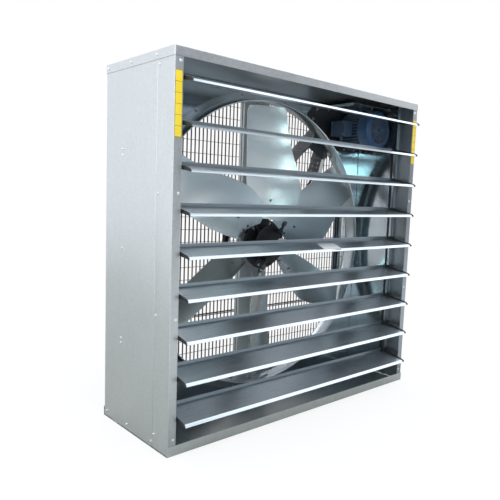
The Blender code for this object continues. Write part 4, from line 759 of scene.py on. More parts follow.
def addEndCap(shape, number, side):
    cap, y, z = bmesh.new(), shape.pivotY, slatPivot(number)
    inner = side * (shape.halfLength + shape.capGap)
    outer = inner + side * shape.cap

    def addPart(outline, start, end):
        addPrism(cap, moved(outline, y, z), min(start, end), max(start, end), 'X')
    addPart(capOutline(shape), inner, outer)
    # a raised rib along the middle and a collar round the stub axle
    (rearY, rearZ), (frontY, frontZ) = shape.section[1:3]
    rearY, frontY = rearY - shape.ribInset, frontY + shape.ribInset
    addPart([(rearY, rearZ + shape.ribUp), (frontY, frontZ + shape.ribUp),
             (frontY, frontZ - shape.ribDown), (rearY, rearZ - shape.ribDown)],
            outer, outer + side * shape.ribRise)
    addRod(cap, (outer - side * shape.collarSunk, y, z), (outer + side * shape.collarReach, y, z),
           shape.collar, 20)
    addRod(cap, (outer, y, z), (side * shape.wallX, y, z), shape.stub)
    if side > 0:
        heading = radians(shape.crankLean - 90)
        pinY, pinZ = y + shape.crank * cos(heading), z + shape.crank * sin(heading)
        addPart(crankArm(shape, heading), outer - shape.armSunk, outer + shape.armRise)
        addRod(cap, (outer, pinY, pinZ), (shape.pinEnd, pinY, pinZ), shape.pin)
    name = "slat_cap_%d" if side < 0 else "slat_crank_%d"
    stands = () if side < 0 else ("crank_cap_%d" % number,)
    addPiece(name % number, cap, blackPlastic, "slat_%d" % number, stands,
             bevel=shape.edge)


def addSlats(shape):
    tree = makeStripTree()
    section = bmesh.new()
    outline = thickened(roundedPath(shape.section, shape.bend), shape.sheet)
    section.faces.new([section.verts.new((0, y, z)) for y, z in outline])
    section.normal_update()
    if section.faces[:][0].normal.x > 0:
        bmesh.ops.reverse_faces(section, faces=section.faces[:])
    mesh = meshOf("slat_section", section)
    for number in range(1, shape.count + 1):
        sizes = {"Length": 2 * shape.halfLength, "Left End": -shape.halfLength,
                 "Pivot": (0.0, shape.pivotY, slatPivot(number))}
        grow("slat_strip_%d" % number, tree, sizes, slatSheet, "slat_%d" % number, mesh,
             ("slat_%d" % number,))
        for side in (-1, 1):
            addEndCap(shape, number, side)


addSlats(slatShape)
softened("link_bar", blackPlastic, "link_bar", 0.0006)
softened("slat_bracket", zincSteel, "slat_5", 0.0004)
print("shutter done")


# venturi ring, turned from a smooth section

ringShape = Settings(throat=0.630, sheet=0.002, frontY=0.055, straightEnd=0.100, rearY=0.150,
                     flare=0.035, lip=0.004, lipLength=0.006, foot=0.672, fillet=0.016, panelY=0.110,
                     gap=0.0003, steps=144, flareSteps=8, bolts=16, boltRadius=0.661, boltSize=0.010)


def ringSection(shape):
    inside, sheet, outside = shape.throat, shape.sheet, shape.throat + shape.sheet
    footRear = shape.panelY - shape.gap
    footFront = footRear - sheet
    length = shape.rearY - shape.straightEnd
    turns = [pi / 2 * step / shape.flareSteps for step in range(shape.flareSteps + 1)]
    inner, outer = ([(radius + flare * (1 - cos(a)), shape.straightEnd + reach * sin(a)) for a in turns]
                    for radius, flare, reach in ((inside, shape.flare, length),
                                                 (outside, shape.flare - sheet, length - sheet)))
    fillet = [(outside + shape.fillet * (1 - cos(a)), footFront - shape.fillet * (1 - sin(a)))
              for a in turns]
    behind = [point for point in outer if point[1] > footRear + sheet]
    front, lip = shape.frontY, shape.lip
    rolled = [(outside, front + shape.lipLength), (outside + lip * 0.6, front + lip / 2),
              (outside + lip, front + lip / 4), (inside + lip * 1.3, front),
              (inside + lip * 0.6, front + lip * 0.3), (inside, front + shape.lipLength)]
    return behind[::-1] + [(outside + sheet / 2, footRear), (shape.foot, footRear),
                           (shape.foot, footFront)] + fillet[::-1] + rolled + inner


def addRing(shape):
    ring = bmesh.new()
    addTurned(ring, ringSection(shape), steps=shape.steps)
    addPiece("venturi", ring, ringSheet, stands=("venturi_ring",))
    places = boltRing(shape.boltRadius, shape.panelY - shape.gap - shape.sheet,
                      evenly(shape.bolts, 180 / shape.bolts))
    addFasteners("ring_bolts", "rivet", shape.boltSize, places)


addRing(ringShape)
print("venturi done")


# impeller blades: the CAD table of chord and pitch, run through a smooth curve

bladeShape = Settings(
    count=6, firstPhase=32.0, root=0.115, tip=0.618, chord=0.260, y=0.085, sheet=0.002, camber=0.012,
    rows=36, columns=20, ribHeight=0.0004, ribWidth=0.014, ribStart=-0.12, ribEnd=0.55,
    shares=((0.00, 0.170, 0.300, 40.0), (0.05, 0.215, 0.415, 39.0), (0.22, 0.270, 0.640, 34.0),
            (0.37, 0.296, 0.690, 30.0), (0.66, 0.296, 0.520, 25.0), (0.84, 0.296, 0.445, 23.0),
            (0.965, 0.292, 0.425, 22.0), (1.00, 0.258, 0.385, 21.5)))
bladePhases = evenly(bladeShape.count, bladeShape.firstPhase)


def bladeRow(shape, share):
    # Hermite curve through the table, so that the outline has no corners
    rows = shape.shares
    place = next((index for index in range(len(rows) - 2) if share <= rows[index + 1][0]), len(rows) - 2)
    low, high = rows[place], rows[place + 1]
    before, after = rows[max(place - 1, 0)], rows[min(place + 2, len(rows) - 1)]
    span = high[0] - low[0]
    t = (share - low[0]) / span
    result = []
    for column in (1, 2, 3):
        rise = (high[column] - low[column]) / span
        slopes = []
        for first, last in ((before, high), (low, after)):
            plain = (last[column] - first[column]) / (last[0] - first[0])
            slopes.append(0.0 if plain * rise <= 0 else copysign(min(abs(plain), 2 * abs(rise)), rise))
        result.append((2 * t**3 - 3 * t**2 + 1) * low[column] + (t**3 - 2 * t**2 + t) * span * slopes[0]
                      + (3 * t**2 - 2 * t**3) * high[column] + (t**3 - t**2) * span * slopes[1])
    return result


def bladePoint(shape, phase, share, column, shift=0.0, ribbed=True):
    lead, trail, pitch = bladeRow(shape, max(share, 0.0))
    radius = shape.root + (shape.tip - shape.root) * share
    slope = radians(pitch)
    along = (column * (lead + trail) - trail) * shape.chord
    across = (along - (lead - trail) / 2 * shape.chord) / ((lead + trail) / 2 * shape.chord)
    rise = shape.camber * (1 - across * across)
    if ribbed and share < shape.ribEnd:
        # a pressed rib along the spoke that fades out
        faded = min(1.0, (share - shape.ribStart) / (shape.ribEnd - shape.ribStart))
        rise -= shape.ribHeight * sin(pi * faded) ** 0.5 * exp(-(along / shape.ribWidth) ** 2)
    place = spoke(phase + along * cos(slope) / radius, radius)
    return place + Vector((0, shape.y + along * sin(slope) + rise + shift, axisZ))


def sheetGrid(shape, rows, columns, place, thickness):
    # closed sheet: place(row share, column share) gives its front face, the wall grows to the shutter
    front = [[shape.verts.new(place(row / rows, column / columns)) for column in range(columns + 1)]
             for row in range(rows + 1)]
    shape.verts.ensure_lookup_table()
    faces = [shape.faces.new((front[row][column], front[row][column + 1],
                              front[row + 1][column + 1], front[row + 1][column]))
             for row in range(rows) for column in range(columns)]
    shape.normal_update()
    back = {}
    for vertex in (vertex for line in front for vertex in line):
        normal = sum((face.normal for face in vertex.link_faces), Vector()).normalized()
        back[vertex] = shape.verts.new(vertex.co + (normal if normal.y < 0 else -normal) * thickness)
    rim = [edge.verts[:] for edge in shape.edges if len(edge.link_faces) == 1]
    for first, last in rim:
        shape.faces.new((first, last, back[last], back[first]))
    for face in faces:
        shape.faces.new([back[vertex] for vertex in reversed(face.verts)])


def addBlades(shape):
    for number, phase in enumerate(bladePhases, 1):
        blade = bmesh.new()
        sheetGrid(blade, shape.rows, shape.columns,
                  lambda row, column: bladePoint(shape, phase, row, column), shape.sheet)
        addPiece("blade_skin_%d" % number, blade, brightSheet, "impeller",
                 ("blade_%d" % number,), smooth=50)


addBlades(bladeShape)
print("blades done")


# hub with ribs, arms behind the blades and the bolts that hold them

hubShape = Settings(
    bore=0.0128, boss=0.040, frontY=0.040, rearY=0.1265, disc=0.112, discY=0.076, discDepth=0.008,
    chamfer=0.003, edge=0.0008, ribs=6, ribDepth=0.018, ribWidth=0.006, armStart=-0.058, armEnd=0.22,
    armFrom=0.34, armAcross=0.32, armSheet=0.005, armGap=0.0006, armRows=10, armColumns=8,
    bolts=(6, 12), boltRadius=0.098, boltSize=0.0130, bladeBoltSize=0.0115,
    bladeBolts=((0.03, 0.42), (0.03, 0.60), (0.17, 0.50)))


def addHub(shape, blade):
    hub, edge, boss, disc, rear = bmesh.new(), shape.chamfer, shape.boss, shape.disc, shape.rearY
    discY, discRear = shape.discY, shape.discY + shape.discDepth
    addTurned(hub, [(boss, rear - edge), (boss, discRear + 2 * edge), (boss + edge, discRear),
                    (disc - edge / 2, discRear), (disc, discRear - edge / 2), (disc, discY + edge / 2),
                    (disc - edge / 2, discY), (boss + 2 * edge, discY), (boss, discY - 2 * edge),
                    (boss, shape.frontY + edge), (boss - edge, shape.frontY),
                    (shape.bore, shape.frontY), (shape.bore, rear), (boss - edge, rear)])
    rib = [(boss - edge, discY - shape.ribDepth), (boss + edge, discY - shape.ribDepth),
           (disc - 2 * edge, discY - edge), (disc - 2 * edge, discY + edge), (boss - edge, discY + edge)]
    for angle in evenly(shape.ribs, blade.firstPhase + 30):
        across = spoke(angle + pi / 2, shape.ribWidth / 2)
        addLoft(hub, *([spoke(angle, radius) + way * across + Vector((0, y, axisZ)) for radius, y in rib]
                       for way in (-1, 1)))
    addPiece("hub_casting", hub, blackPaint, "impeller", ("hub",), bevel=shape.edge)


def addArms(shape, blade):
    arms, span = bmesh.new(), shape.armEnd - shape.armStart
    for phase in bladePhases:
        def place(row, column):
            return bladePoint(blade, phase, shape.armStart + span * row,
                              shape.armFrom + shape.armAcross * column, shape.armGap, False)
        sheetGrid(arms, shape.armRows, shape.armColumns, place, -shape.armSheet)
    addPiece("hub_arms", arms, blackPaint, "impeller", smooth=40)


def addHubBolts(shape, blade):
    places, step = [], 0.01
    for phase in bladePhases:
        for share, column in shape.bladeBolts:
            point = bladePoint(blade, phase, share, column)
            along = bladePoint(blade, phase, share + step, column) - point
            across = bladePoint(blade, phase, share, column + step) - point
            normal = along.cross(across).normalized()
            normal = normal if normal.y < 0 else -normal
            places.append((point + normal * blade.sheet, normal))
    addFasteners("blade_bolts", "bolt", shape.bladeBoltSize, places, castIron, "impeller")
    places = boltRing(shape.boltRadius, shape.discY, evenly(*shape.bolts))
    addFasteners("hub_bolts", "bolt", shape.boltSize, places, zincSteel, "impeller")


addHub(hubShape, bladeShape)
addArms(hubShape, bladeShape)
addHubBolts(hubShape, bladeShape)
softened("governor_plate", blackPaint, "impeller", 0.0006)
for name in numbered("flyweight", 2):
    softened(name, castIron, name, 0.0006)
softened("thrust_collar", brightSteel, "push_rod", 0.0008)
softened("shaft_nut", zincSteel, "impeller", 0.0010)

springSizes = {"Radius": 0.0085, "Wire": 0.0011, "Turns": 12.0, "Length": 0.11376,
               "Place": (0.0, -0.15626, axisZ)}


def makeCoilTree():
    tree, given = newTree("coil_spring", {"Radius": "Float", "Wire": "Float", "Turns": "Float",
                                          "Length": "Float", "Place": "Vector"})
    coil = addNode(tree, "GeometryNodeCurveSpiral", {
        "Resolution": 24, "Rotations": given["Turns"], "Start Radius": given["Radius"],
        "End Radius": given["Radius"], "Height": given["Length"]})
    drawn = makeTube(tree, coil, given["Wire"], 8)
    return endTree(tree, given, shifted(tree, drawn, given["Place"], Rotation=(-pi / 2, 0, 0)))


grow("buffer_coil", makeCoilTree(), springSizes, brightSteel, "push_rod",
     stands=("buffer_spring",), smooth=60)
print("hub and opener done")


# inlet guard: welded wires on a frame of thicker wire

guardShape = Settings(halfWidth=0.6760, bottom=0.0215, rowPitch=0.05585, rows=25, columns=66,
                      wire=0.0012, uprightY=0.2331, uprightStretch=3.0, crossY=0.2354, over=0.004,
                      frameWire=0.0024, frameY=0.2340, barWire=0.0022, barY=0.2302, barZ=0.3530,
                      barPitch=0.0085)


def makeWireTree():
    # parallel wires: each runs along Run and the next one stands one Step further
    tree, given = newTree("parallel_wires", {"Count": "Int", "Wire": "Float", "Start": "Vector",
                                             "Run": "Vector", "Step": "Vector", "Stretch": "Vector"})
    line = addNode(tree, "GeometryNodeCurvePrimitiveLine", {"End": given["Run"]})
    wire = shifted(tree, makeTube(tree, line, given["Wire"], 6), (0, 0, 0), Scale=given["Stretch"])
    row = addNode(tree, "GeometryNodeMeshLine", {"Count": given["Count"], "Offset": given["Step"],
                                                 "Start Location": given["Start"]})
    return endTree(tree, given, placeCopies(tree, row.outputs[0], wire))


def addGuard(shape):
    # over is how far the wire ends stand past the outer crossings
    tree, half, low, over = makeWireTree(), shape.halfWidth, shape.bottom, shape.over
    height, width = shape.rowPitch * (shape.rows - 1), 2 * shape.halfWidth
    wires = {
        "uprights": (shape.columns, shape.wire, (-half, shape.uprightY, low - over),
                     (0, 0, height + 2 * over), (width / (shape.columns - 1), 0, 0)),
        "crosswires": (shape.rows, shape.wire, (-half - over, shape.crossY, low),
                       (width + 2 * over, 0, 0), (0, 0, shape.rowPitch)),
        "frame_sides": (2, shape.frameWire, (-half, shape.frameY, low), (0, 0, height), (width, 0, 0)),
        "frame_ends": (2, shape.frameWire, (-half, shape.frameY, low), (width, 0, 0), (0, 0, height)),
        "stiffeners": (2, shape.barWire, (-half, shape.barY, shape.barZ), (width, 0, 0),
                       (0, 0, shape.barPitch))}
    for name, (count, wire, start, run, step) in wires.items():
        upright = name == "uprights"
        stretch = (shape.uprightStretch if upright else 1.0, 1.0, 1.0)
        grow("guard_" + name, tree, {"Count": count, "Wire": wire, "Start": start, "Run": run,
                                     "Step": step, "Stretch": stretch},
             wireCoat, stands=("rear_guard",) if upright else (), smooth=70)


addGuard(guardShape)
print("guard done")


# posts, bearing housing, pulleys and belt

postBolts = Settings(x=(0.022, 0.058), y=0.1528, z=(0.030, 1.350), size=0.016)
bearingShape = Settings(
    profile=((0.0300, 0.1845), (0.0300, 0.1560), (0.0300, 0.1527), (0.0600, 0.1527), (0.0600, 0.1460),
             (0.0590, 0.1447), (0.0360, 0.1447), (0.0315, 0.1420), (0.0300, 0.1380), (0.0300, 0.1285),
             (0.0290, 0.1275), (0.0270, 0.1275), (0.0258, 0.1290), (0.0258, 0.1840), (0.0268, 0.1855),
             (0.0290, 0.1855)),
    ribs=(8, 22.5), ribStart=(0.029, 0.1400), ribEnd=(0.052, 0.1462), rib=0.0025, edge=0.0005,
    bolts=(4, 45), boltRadius=0.047, boltY=0.1447, boltSize=0.017, nippleY=0.170,
    nippleHeights=(0.029, 0.038, 0.043), nippleRadii=(0.0035, 0.0030, 0.0018))


def addPosts(bolts):
    for side in ("left", "right"):
        softened(side + "_post", lightenedPostSheet, housing, 0.0012)
    places = [((side * x, bolts.y, z), toFront) for side in (-1, 1) for x in bolts.x for z in bolts.z]
    addFasteners("post_bolts", "bolt", bolts.size, places)


def addBearingHousing(shape):
    casting = bmesh.new()
    addTurned(casting, shape.profile, steps=64)
    for angle in evenly(*shape.ribs):
        addRod(casting, *(spoke(angle, radius) + Vector((0, y, axisZ))
                          for radius, y in (shape.ribStart, shape.ribEnd)), shape.rib, 8)
    addPiece("bearing_casting", casting, castIron, stands=("bearing_housing",),
             bevel=shape.edge)
    addFasteners("bearing_bolts", "bolt", shape.boltSize,
                 boltRing(shape.boltRadius, shape.boltY, evenly(*shape.bolts)))
    nipple = bmesh.new()
    foot, neck, tip = ((0, shape.nippleY, axisZ + height) for height in shape.nippleHeights)
    thick, wide, narrow = shape.nippleRadii
    addRod(nipple, foot, neck, thick, 6)
    addRod(nipple, neck, tip, wide, 12, narrow)
    addPiece("grease_nipple", nipple, zincSteel, bevel=0.0004)


pulleyShape = Settings(
    beltY=0.199, halfGroove=0.0060, rim=0.0045, driven=0.134, motor=0.0418, belt=0.008, slack=0.0005,
    soft=0.0010, web=0.006, hub=0.026, hubHalf=0.0105, rimDepth=0.008, bore=0.0128, motorBore=0.0123,
    collar=0.002, collarHalf=0.008, rimLap=0.0006, hubLap=0.001, windows=5, windowStart=14, outer=0.108,
    outerTurn=44, inner=0.046, innerTurn=36, screwRadius=0.0195, screwAngles=(0.4, 2.5, 4.6))


def pulleyRim(shape, pitch, inside):
    middle, half, soft = shape.beltY, shape.halfGroove, shape.soft
    front, rear = middle - half - shape.rim, middle + half + shape.rim
    floor, top = pitch - shape.belt / 2 - shape.slack, pitch + shape.belt / 2
    wide, wider = half + 1.2 * soft, half + 1.6 * soft
    return [(top - soft, rear), (top, rear - soft), (top, middle + wider), (top - soft, middle + wide),
            (floor, middle + half), (floor, middle - half), (top - soft, middle - wide),
            (top, middle - wider), (top, front + soft), (top - soft, front), (inside + soft, front),
            (inside, front + soft), (inside, rear - soft), (inside + soft, rear)]


def arcPoints(radius, start, turn, steps):
    return [(radius * cos(angle), axisZ + radius * sin(angle))
            for angle in (radians(start + turn * step / steps) for step in range(steps + 1))]


def addPulleys(shape):
    middle, web, hub, half = shape.beltY, shape.web / 2, shape.hub, shape.hubHalf
    inside = shape.driven - shape.belt / 2 - shape.slack - shape.rimDepth
    driven = bmesh.new()
    addTurned(driven, pulleyRim(shape, shape.driven, inside), steps=128)
    collar, edge = hub + shape.collar, shape.collarHalf
    addTurned(driven, [(hub, middle + half), (collar, middle + edge), (collar, middle - edge),
                       (hub, middle - half), (shape.bore, middle - half),
                       (shape.bore, middle + half)], steps=48)
    driven.normal_update()
    lean = (shape.outerTurn - shape.innerTurn) / 2
    windows = [arcPoints(shape.outer, start, shape.outerTurn, 10)
               + arcPoints(shape.inner, start + lean, shape.innerTurn, 6)[::-1]
               for start in (360 / shape.windows * step + shape.windowStart
                             for step in range(shape.windows))]
    addPlate(driven, [circle(inside + shape.rimLap, 96, (0, axisZ)), *windows,
                      circle(hub - shape.hubLap, 48, (0, axisZ))], middle - web, middle + web)
    addPiece("fan_pulley", driven, castIron, "impeller", ("driven_pulley",), bevel=0.0006)
    small = bmesh.new()
    addTurned(small, pulleyRim(shape, shape.motor, shape.motorBore), motorPlace, 72)
    addPiece("drive_pulley", small, castIron, "motor_rotor", ("motor_pulley",), bevel=0.0004)
    screws = boltRing(shape.screwRadius, middle + half, shape.screwAngles, toRear)
    addFasteners("bush_screws", "screw", 0.008, screws, zincSteel, "impeller")


beltSection = ((0.0040, 0.0053), (0.0032, 0.0055), (-0.0036, 0.0036), (-0.0040, 0.0032))


def beltLoop(shape, offset, steps=40):
    dx, dz = motorPlace[0], motorPlace[1] - axisZ
    heading = atan2(dz, dx)
    wrap = acos((shape.driven - shape.motor) / hypot(dx, dz))
    points = []
    for centre, radius, start, turn, count in (
            (motorPlace, shape.motor, heading - wrap, 2 * wrap, steps),
            ((0, axisZ), shape.driven, heading + wrap, 2 * (pi - wrap), 2 * steps)):
        for angle in (start + turn * step / count for step in range(count + 1)):
            points.append((centre[0] + (radius + offset) * cos(angle),
                           centre[1] + (radius + offset) * sin(angle)))
    return points


def addBelt(shape, section):
    belt = bmesh.new()
    section += tuple((offset, -y) for offset, y in section[::-1])
    loops = [[belt.verts.new((x, shape.beltY + y, z)) for x, z in beltLoop(shape, offset)]
             for offset, y in section]
    for loop, beside in zip(loops, loops[1:] + loops[:1]):
        addSides(belt, loop, beside)
    addPiece("drive_belt", belt, rubber, stands=("v_belt",), smooth=40)


addPosts(postBolts)
addBearingHousing(bearingShape)
addPulleys(pulleyShape)
addBelt(pulleyShape, beltSection)
print("bearing and belt drive done")


# belt guard: punched walls laid tile by tile along their paths; places are (along, beside) the drive

beltGuardShape = Settings(
    radius=0.106, spread=0.010, run=0.420, shortRun=0.030, arcSteps=28, rearY=0.230,
    fronts={"outer": 0.1118, "crossing": 0.1538, "inner": 0.130}, sheet=0.0015, tile=0.0240,
    lap=0.0002, slot=(0.0110, 0.0032), slotShift=0.005, slotMargin=0.012, slotEnd=0.010, rowPitch=0.0330,
    throat=0.627, ringEdge=0.675, ringGap=0.01, wallStart=(0.100, 0.031), wallEnd=(0.275, -0.059),
    web=((0.060, 0.105), (0.235, 0.1105), (0.190, -0.0153)), webY=(0.1533, 0.1548), edge=0.0003,
    strip=(0.00085, 0.00238), strips=(((0.112, 0.0268), (0.262, -0.0504), 0.1300, 0.1530),
                                      ((0.215, 0.1095), (0.405, 0.1140), 0.1290, 0.1420)))


def drivePoint(along, beside):
    # along runs from the motor to the impeller, beside to the upper left of that line
    heading = atan2(axisZ - motorPlace[1], -motorPlace[0])
    return Vector((motorPlace[0] + along * cos(heading) + beside * sin(heading),
                   motorPlace[1] + along * sin(heading) - beside * cos(heading)))


def makeTileTree():
    tree, given = newTree("punched_wall", {"Tile": "Object"})
    placed = placeCopies(tree, given["Geometry"], givenObject(tree, given["Tile"]),
                         Rotation=aimAlong(tree, pointFacing(tree)))
    return endTree(tree, given, placed)


def punchedTile(shape, name, frontY):
    # local X runs along the wall and local Y from front to rear
    tile, half, rear = bmesh.new(), shape.tile / 2 + shape.lap, shape.rearY
    length, width = shape.slot
    outlines = [[(-half, frontY), (half, frontY), (half, rear), (-half, rear)]]
    for row in range(int((rear - frontY - shape.slotMargin) / shape.rowPitch) + 1):
        x, y = (-1) ** row * shape.slotShift, frontY + shape.slotMargin + shape.rowPitch * row
        if y <= rear - shape.slotEnd:
            outlines.append([(x + copysign(length - width, cos(a)) / 2 + width / 2 * cos(a),
                              y + width / 2 * sin(a)) for a in evenly(10, 18)])
    addPlate(tile, outlines, -shape.sheet / 2, shape.sheet / 2, 'Z')
    return patternObject(name, tile)


def wallStations(line, pitch):
    # points and headings spaced evenly along a line of (x, z) points
    stations, left = [], pitch / 2
    for start, end in zip(line, line[1:]):
        length, way = (end - start).length, (end - start).normalized()
        while left < length:
            stations.append((start + way * left, way))
            left += pitch
        left -= length
    return stations


def addPunchedWalls(shape):
    tree, heading = makeTileTree(), atan2(motorPlace[1] - axisZ, motorPlace[0])
    turns = (heading + pi * (0.5 - step / shape.arcSteps) for step in range(shape.arcSteps + 1))
    arc = [Vector(motorPlace) + shape.radius * spoke(turn).xz for turn in turns]
    longWall = [drivePoint(shape.run, shape.radius + shape.spread), *arc,
                drivePoint(shape.shortRun, -shape.radius)]
    innerWall = [drivePoint(*shape.wallStart), drivePoint(*shape.wallEnd)]
    places = {kind: [] for kind in shape.fronts}
    for point, way in wallStations(longWall, shape.tile) + wallStations(innerWall, shape.tile):
        reach = (point - Vector((0, axisZ))).length
        kind = "outer"
        if reach < shape.ringEdge + shape.ringGap:
            kind = "inner" if reach < shape.throat - shape.ringGap else "crossing"
        places[kind].append(((point.x, 0.0, point.y), (way.x, 0.0, way.y)))
    for kind, frontY in shape.fronts.items():
        grow("belt_guard_" + kind, tree, {"Tile": punchedTile(shape, "tile_" + kind, frontY)}, blackPaint,
             base=pointCloud(places[kind]),
             stands=("belt_guard",) if kind == "outer" else ())


def addGuardStrips(shape):
    web = bmesh.new()
    corners = [drivePoint(*place) for place in (*shape.web, shape.wallStart)]
    addPlate(web, [corners], *shape.webY)
    addPiece("belt_guard_web", web, blackPaint, bevel=shape.edge)
    strips = bmesh.new()
    for start, end, low, high in shape.strips:
        start, end = drivePoint(*start), drivePoint(*end)
        way = (end - start).normalized()
        near, far = (Vector((-way.y, way.x)) * reach for reach in shape.strip)
        addPrism(strips, [start + near, end + near, end + far, start + far], low, high)
    addPiece("belt_guard_strips", strips, galvanised, bevel=shape.edge)


addPunchedWalls(beltGuardShape)
addGuardStrips(beltGuardShape)
print("belt guard done")


# motor: finned frame, fan cover with a grille, cooling fan, terminal box, plate and shelf

motorShape = Settings(
    radius=0.090, frame=0.0805, frontY=-0.070, rearY=0.092, shoulderY=0.082, nose=0.045, bore=0.0123,
    boreY=0.062, edge=0.004, slim=0.001, rearBell=0.016, frontBell=0.032, fins=36, finWidth=0.0024,
    noseStep=0.003, legX=0.040, legHalf=0.012, legRise=0.040, legSunk=0.006, foot=(0.050, 0.040),
    footY=0.020, footSheet=0.007, shelfZ=1.3547)
coverShape = Settings(
    frontY=-0.104, rearY=-0.040, radius=0.0918, sheet=0.0015, round=0.014, grille=0.070, rings=7,
    firstRing=0.011, ringPitch=0.0095, ringHalf=0.0016, ringY=(0.0002, 0.0026), spokes=(8, 10),
    spoke=0.0014, spokeStart=0.010, spokeOver=0.002, screws=(4, 45), screwY=-0.048, rearScrew=0.066,
    rearScrewY=0.0868, screwSize=0.009)
fanShape = Settings(
    hub=((0.020, 0.040), (0.020, 0.018), (0.018, 0.016), (0.0, 0.016), (0.0, 0.040)), blades=9,
    blade=((0.019, 0.016, -0.001), (0.074, 0.016, -0.001), (0.074, 0.036, 0.006), (0.019, 0.040, 0.001)),
    sheet=0.0018)


def makeFinTree():
    # long thin fins that stand round a frame along Y
    tree, given = newTree("cooling_fins", {
        "Count": "Int", "Inner": "Float", "Outer": "Float", "Width": "Float", "Start": "Float",
        "End": "Float", "Centre": "Vector"})
    depth = calc(tree, 'SUBTRACT', given["Outer"], given["Inner"])
    length = calc(tree, 'SUBTRACT', given["End"], given["Start"])
    size = addNode(tree, "ShaderNodeCombineXYZ", {0: depth, 1: length, 2: given["Width"]}).outputs[0]
    fin = addNode(tree, "GeometryNodeMeshCube", {"Size": size}).outputs[0]
    middle, rise = (calc(tree, 'MULTIPLY', calc(tree, 'ADD', given[far], given[near]), 0.5)
                    for far, near in (("Outer", "Inner"), ("End", "Start")))
    ring = addNode(tree, "GeometryNodeMeshCircle", {"Vertices": given["Count"], "Radius": middle})
    upright = shifted(tree, ring.outputs[0], (0, 0, 0), Rotation=(pi / 2, 0, 0))
    out = addNode(tree, "GeometryNodeInputPosition").outputs[0]
    placed = placeCopies(tree, upright, fin, Rotation=aimAlong(tree, out))
    lift = addNode(tree, "ShaderNodeCombineXYZ", {1: rise}).outputs[0]
    place = addNode(tree, "ShaderNodeVectorMath", {0: given["Centre"], 1: lift}, operation='ADD')
    return endTree(tree, given, shifted(tree, placed, place.outputs[0]))


def addMotorFrame(shape):
    (x, z), frameShell, radius, edge = motorPlace, bmesh.new(), shape.radius, shape.edge
    rear, front, slim, step = shape.shoulderY, shape.frontY, shape.slim, 2 * shape.slim
    rearBell, frontBell = rear - shape.rearBell, front + shape.frontBell
    addTurned(frameShell, [
        (shape.nose, shape.rearY), (shape.nose + shape.noseStep, shape.rearY - step), (radius - edge, rear),
        (radius, rear - edge), (radius, rearBell), (shape.frame, rearBell - step),
        (shape.frame, frontBell + step), (radius - slim, frontBell), (radius - slim, front + edge),
        (radius - edge - step, front), (0.0, front), (0.0, shape.boreY), (shape.bore, shape.boreY),
        (shape.bore, shape.rearY)], motorPlace, 64)
    halfX, halfY = shape.foot
    near, far, top = shape.footY - halfY, shape.footY + halfY, shape.shelfZ
    for leg in (x - shape.legX, x + shape.legX):
        addBox(frameShell, (leg - shape.legHalf, near, z + shape.legRise),
               (leg + shape.legHalf, far, top - shape.legSunk))
    addBox(frameShell, (x - halfX, near, top - shape.footSheet), (x + halfX, far, top))
    addPiece("motor_frame", frameShell, navyPaint, stands=("motor_body",), bevel=0.0010)
    grow("motor_fins", makeFinTree(), {
        "Count": shape.fins, "Inner": shape.frame - slim, "Outer": radius - slim / 2,
        "Width": shape.finWidth, "Start": frontBell + slim, "End": rearBell - slim,
        "Centre": (x, 0.0, z)}, navyPaint)


def addMotorCover(shape):
    cover, outer, sheet, front = bmesh.new(), shape.radius, shape.sheet, shape.frontY
    turns = [pi / 2 * step / 6 for step in range(7)]
    skin, lining = ([(outer - inset - (shape.round - inset) * (1 - cos(a)),
                      front + inset + (shape.round - inset) * (1 - sin(a))) for a in turns]
                    for inset in (0.0, sheet))
    addTurned(cover, [(outer, shape.rearY), *skin, (shape.grille, front), (shape.grille, front + sheet),
                      *lining[::-1], (outer - sheet, shape.rearY)], motorPlace, 72)
    addPiece("motor_cover", cover, coverPaint, stands=("motor_fan_cover",))
    grille, (near, far), half = bmesh.new(), shape.ringY, shape.ringHalf
    for radius in (shape.firstRing + shape.ringPitch * ring for ring in range(shape.rings)):
        addTurned(grille, [(radius + half, front + near), (radius + half, front + far),
                           (radius - half, front + far), (radius - half, front + near)], motorPlace, 48)
    centre = Vector((motorPlace[0], front + half, motorPlace[1]))
    for angle in evenly(*shape.spokes):
        addRod(grille, centre + spoke(angle, shape.spokeStart),
               centre + spoke(angle, shape.grille + shape.spokeOver), shape.spoke, 8)
    addPiece("cover_grille", grille, coverPaint)


def addCoolingFan(shape, front):
    fan = bmesh.new()
    addTurned(fan, [(radius, front + y) for radius, y in shape.hub], motorPlace, 32)
    centre = Vector((motorPlace[0], front, motorPlace[1]))
    for angle in evenly(shape.blades):
        addLoft(fan, *([centre + spoke(angle, radius) + spoke(angle + pi / 2, shift + thick)
                        + Vector((0, y, 0)) for radius, y, shift in shape.blade]
                       for thick in (0.0, shape.sheet)))
    addPiece("cooling_fan", fan, coverPaint, "motor_rotor")


def addMotorScrews(shape):
    corners, centre = evenly(*shape.screws), {"centre": motorPlace}
    screws = [place for angle in corners
              for place in boltRing(shape.radius, shape.screwY, (angle,), spoke(angle), **centre)]
    screws += boltRing(shape.rearScrew, shape.rearScrewY, corners, toRear, **centre)
    addFasteners("motor_screws", "screw", shape.screwSize, screws)


boxShape = Settings(lid=0.0085, step=0.006, inset=0.001, edge=0.0022, glandTop=0.0005, glandNut=-0.010,
                    glandEnd=-0.018, nut=0.0095, neck=0.0080, neckEnd=0.0060, screwMargin=0.009,
                    screwSize=0.007)


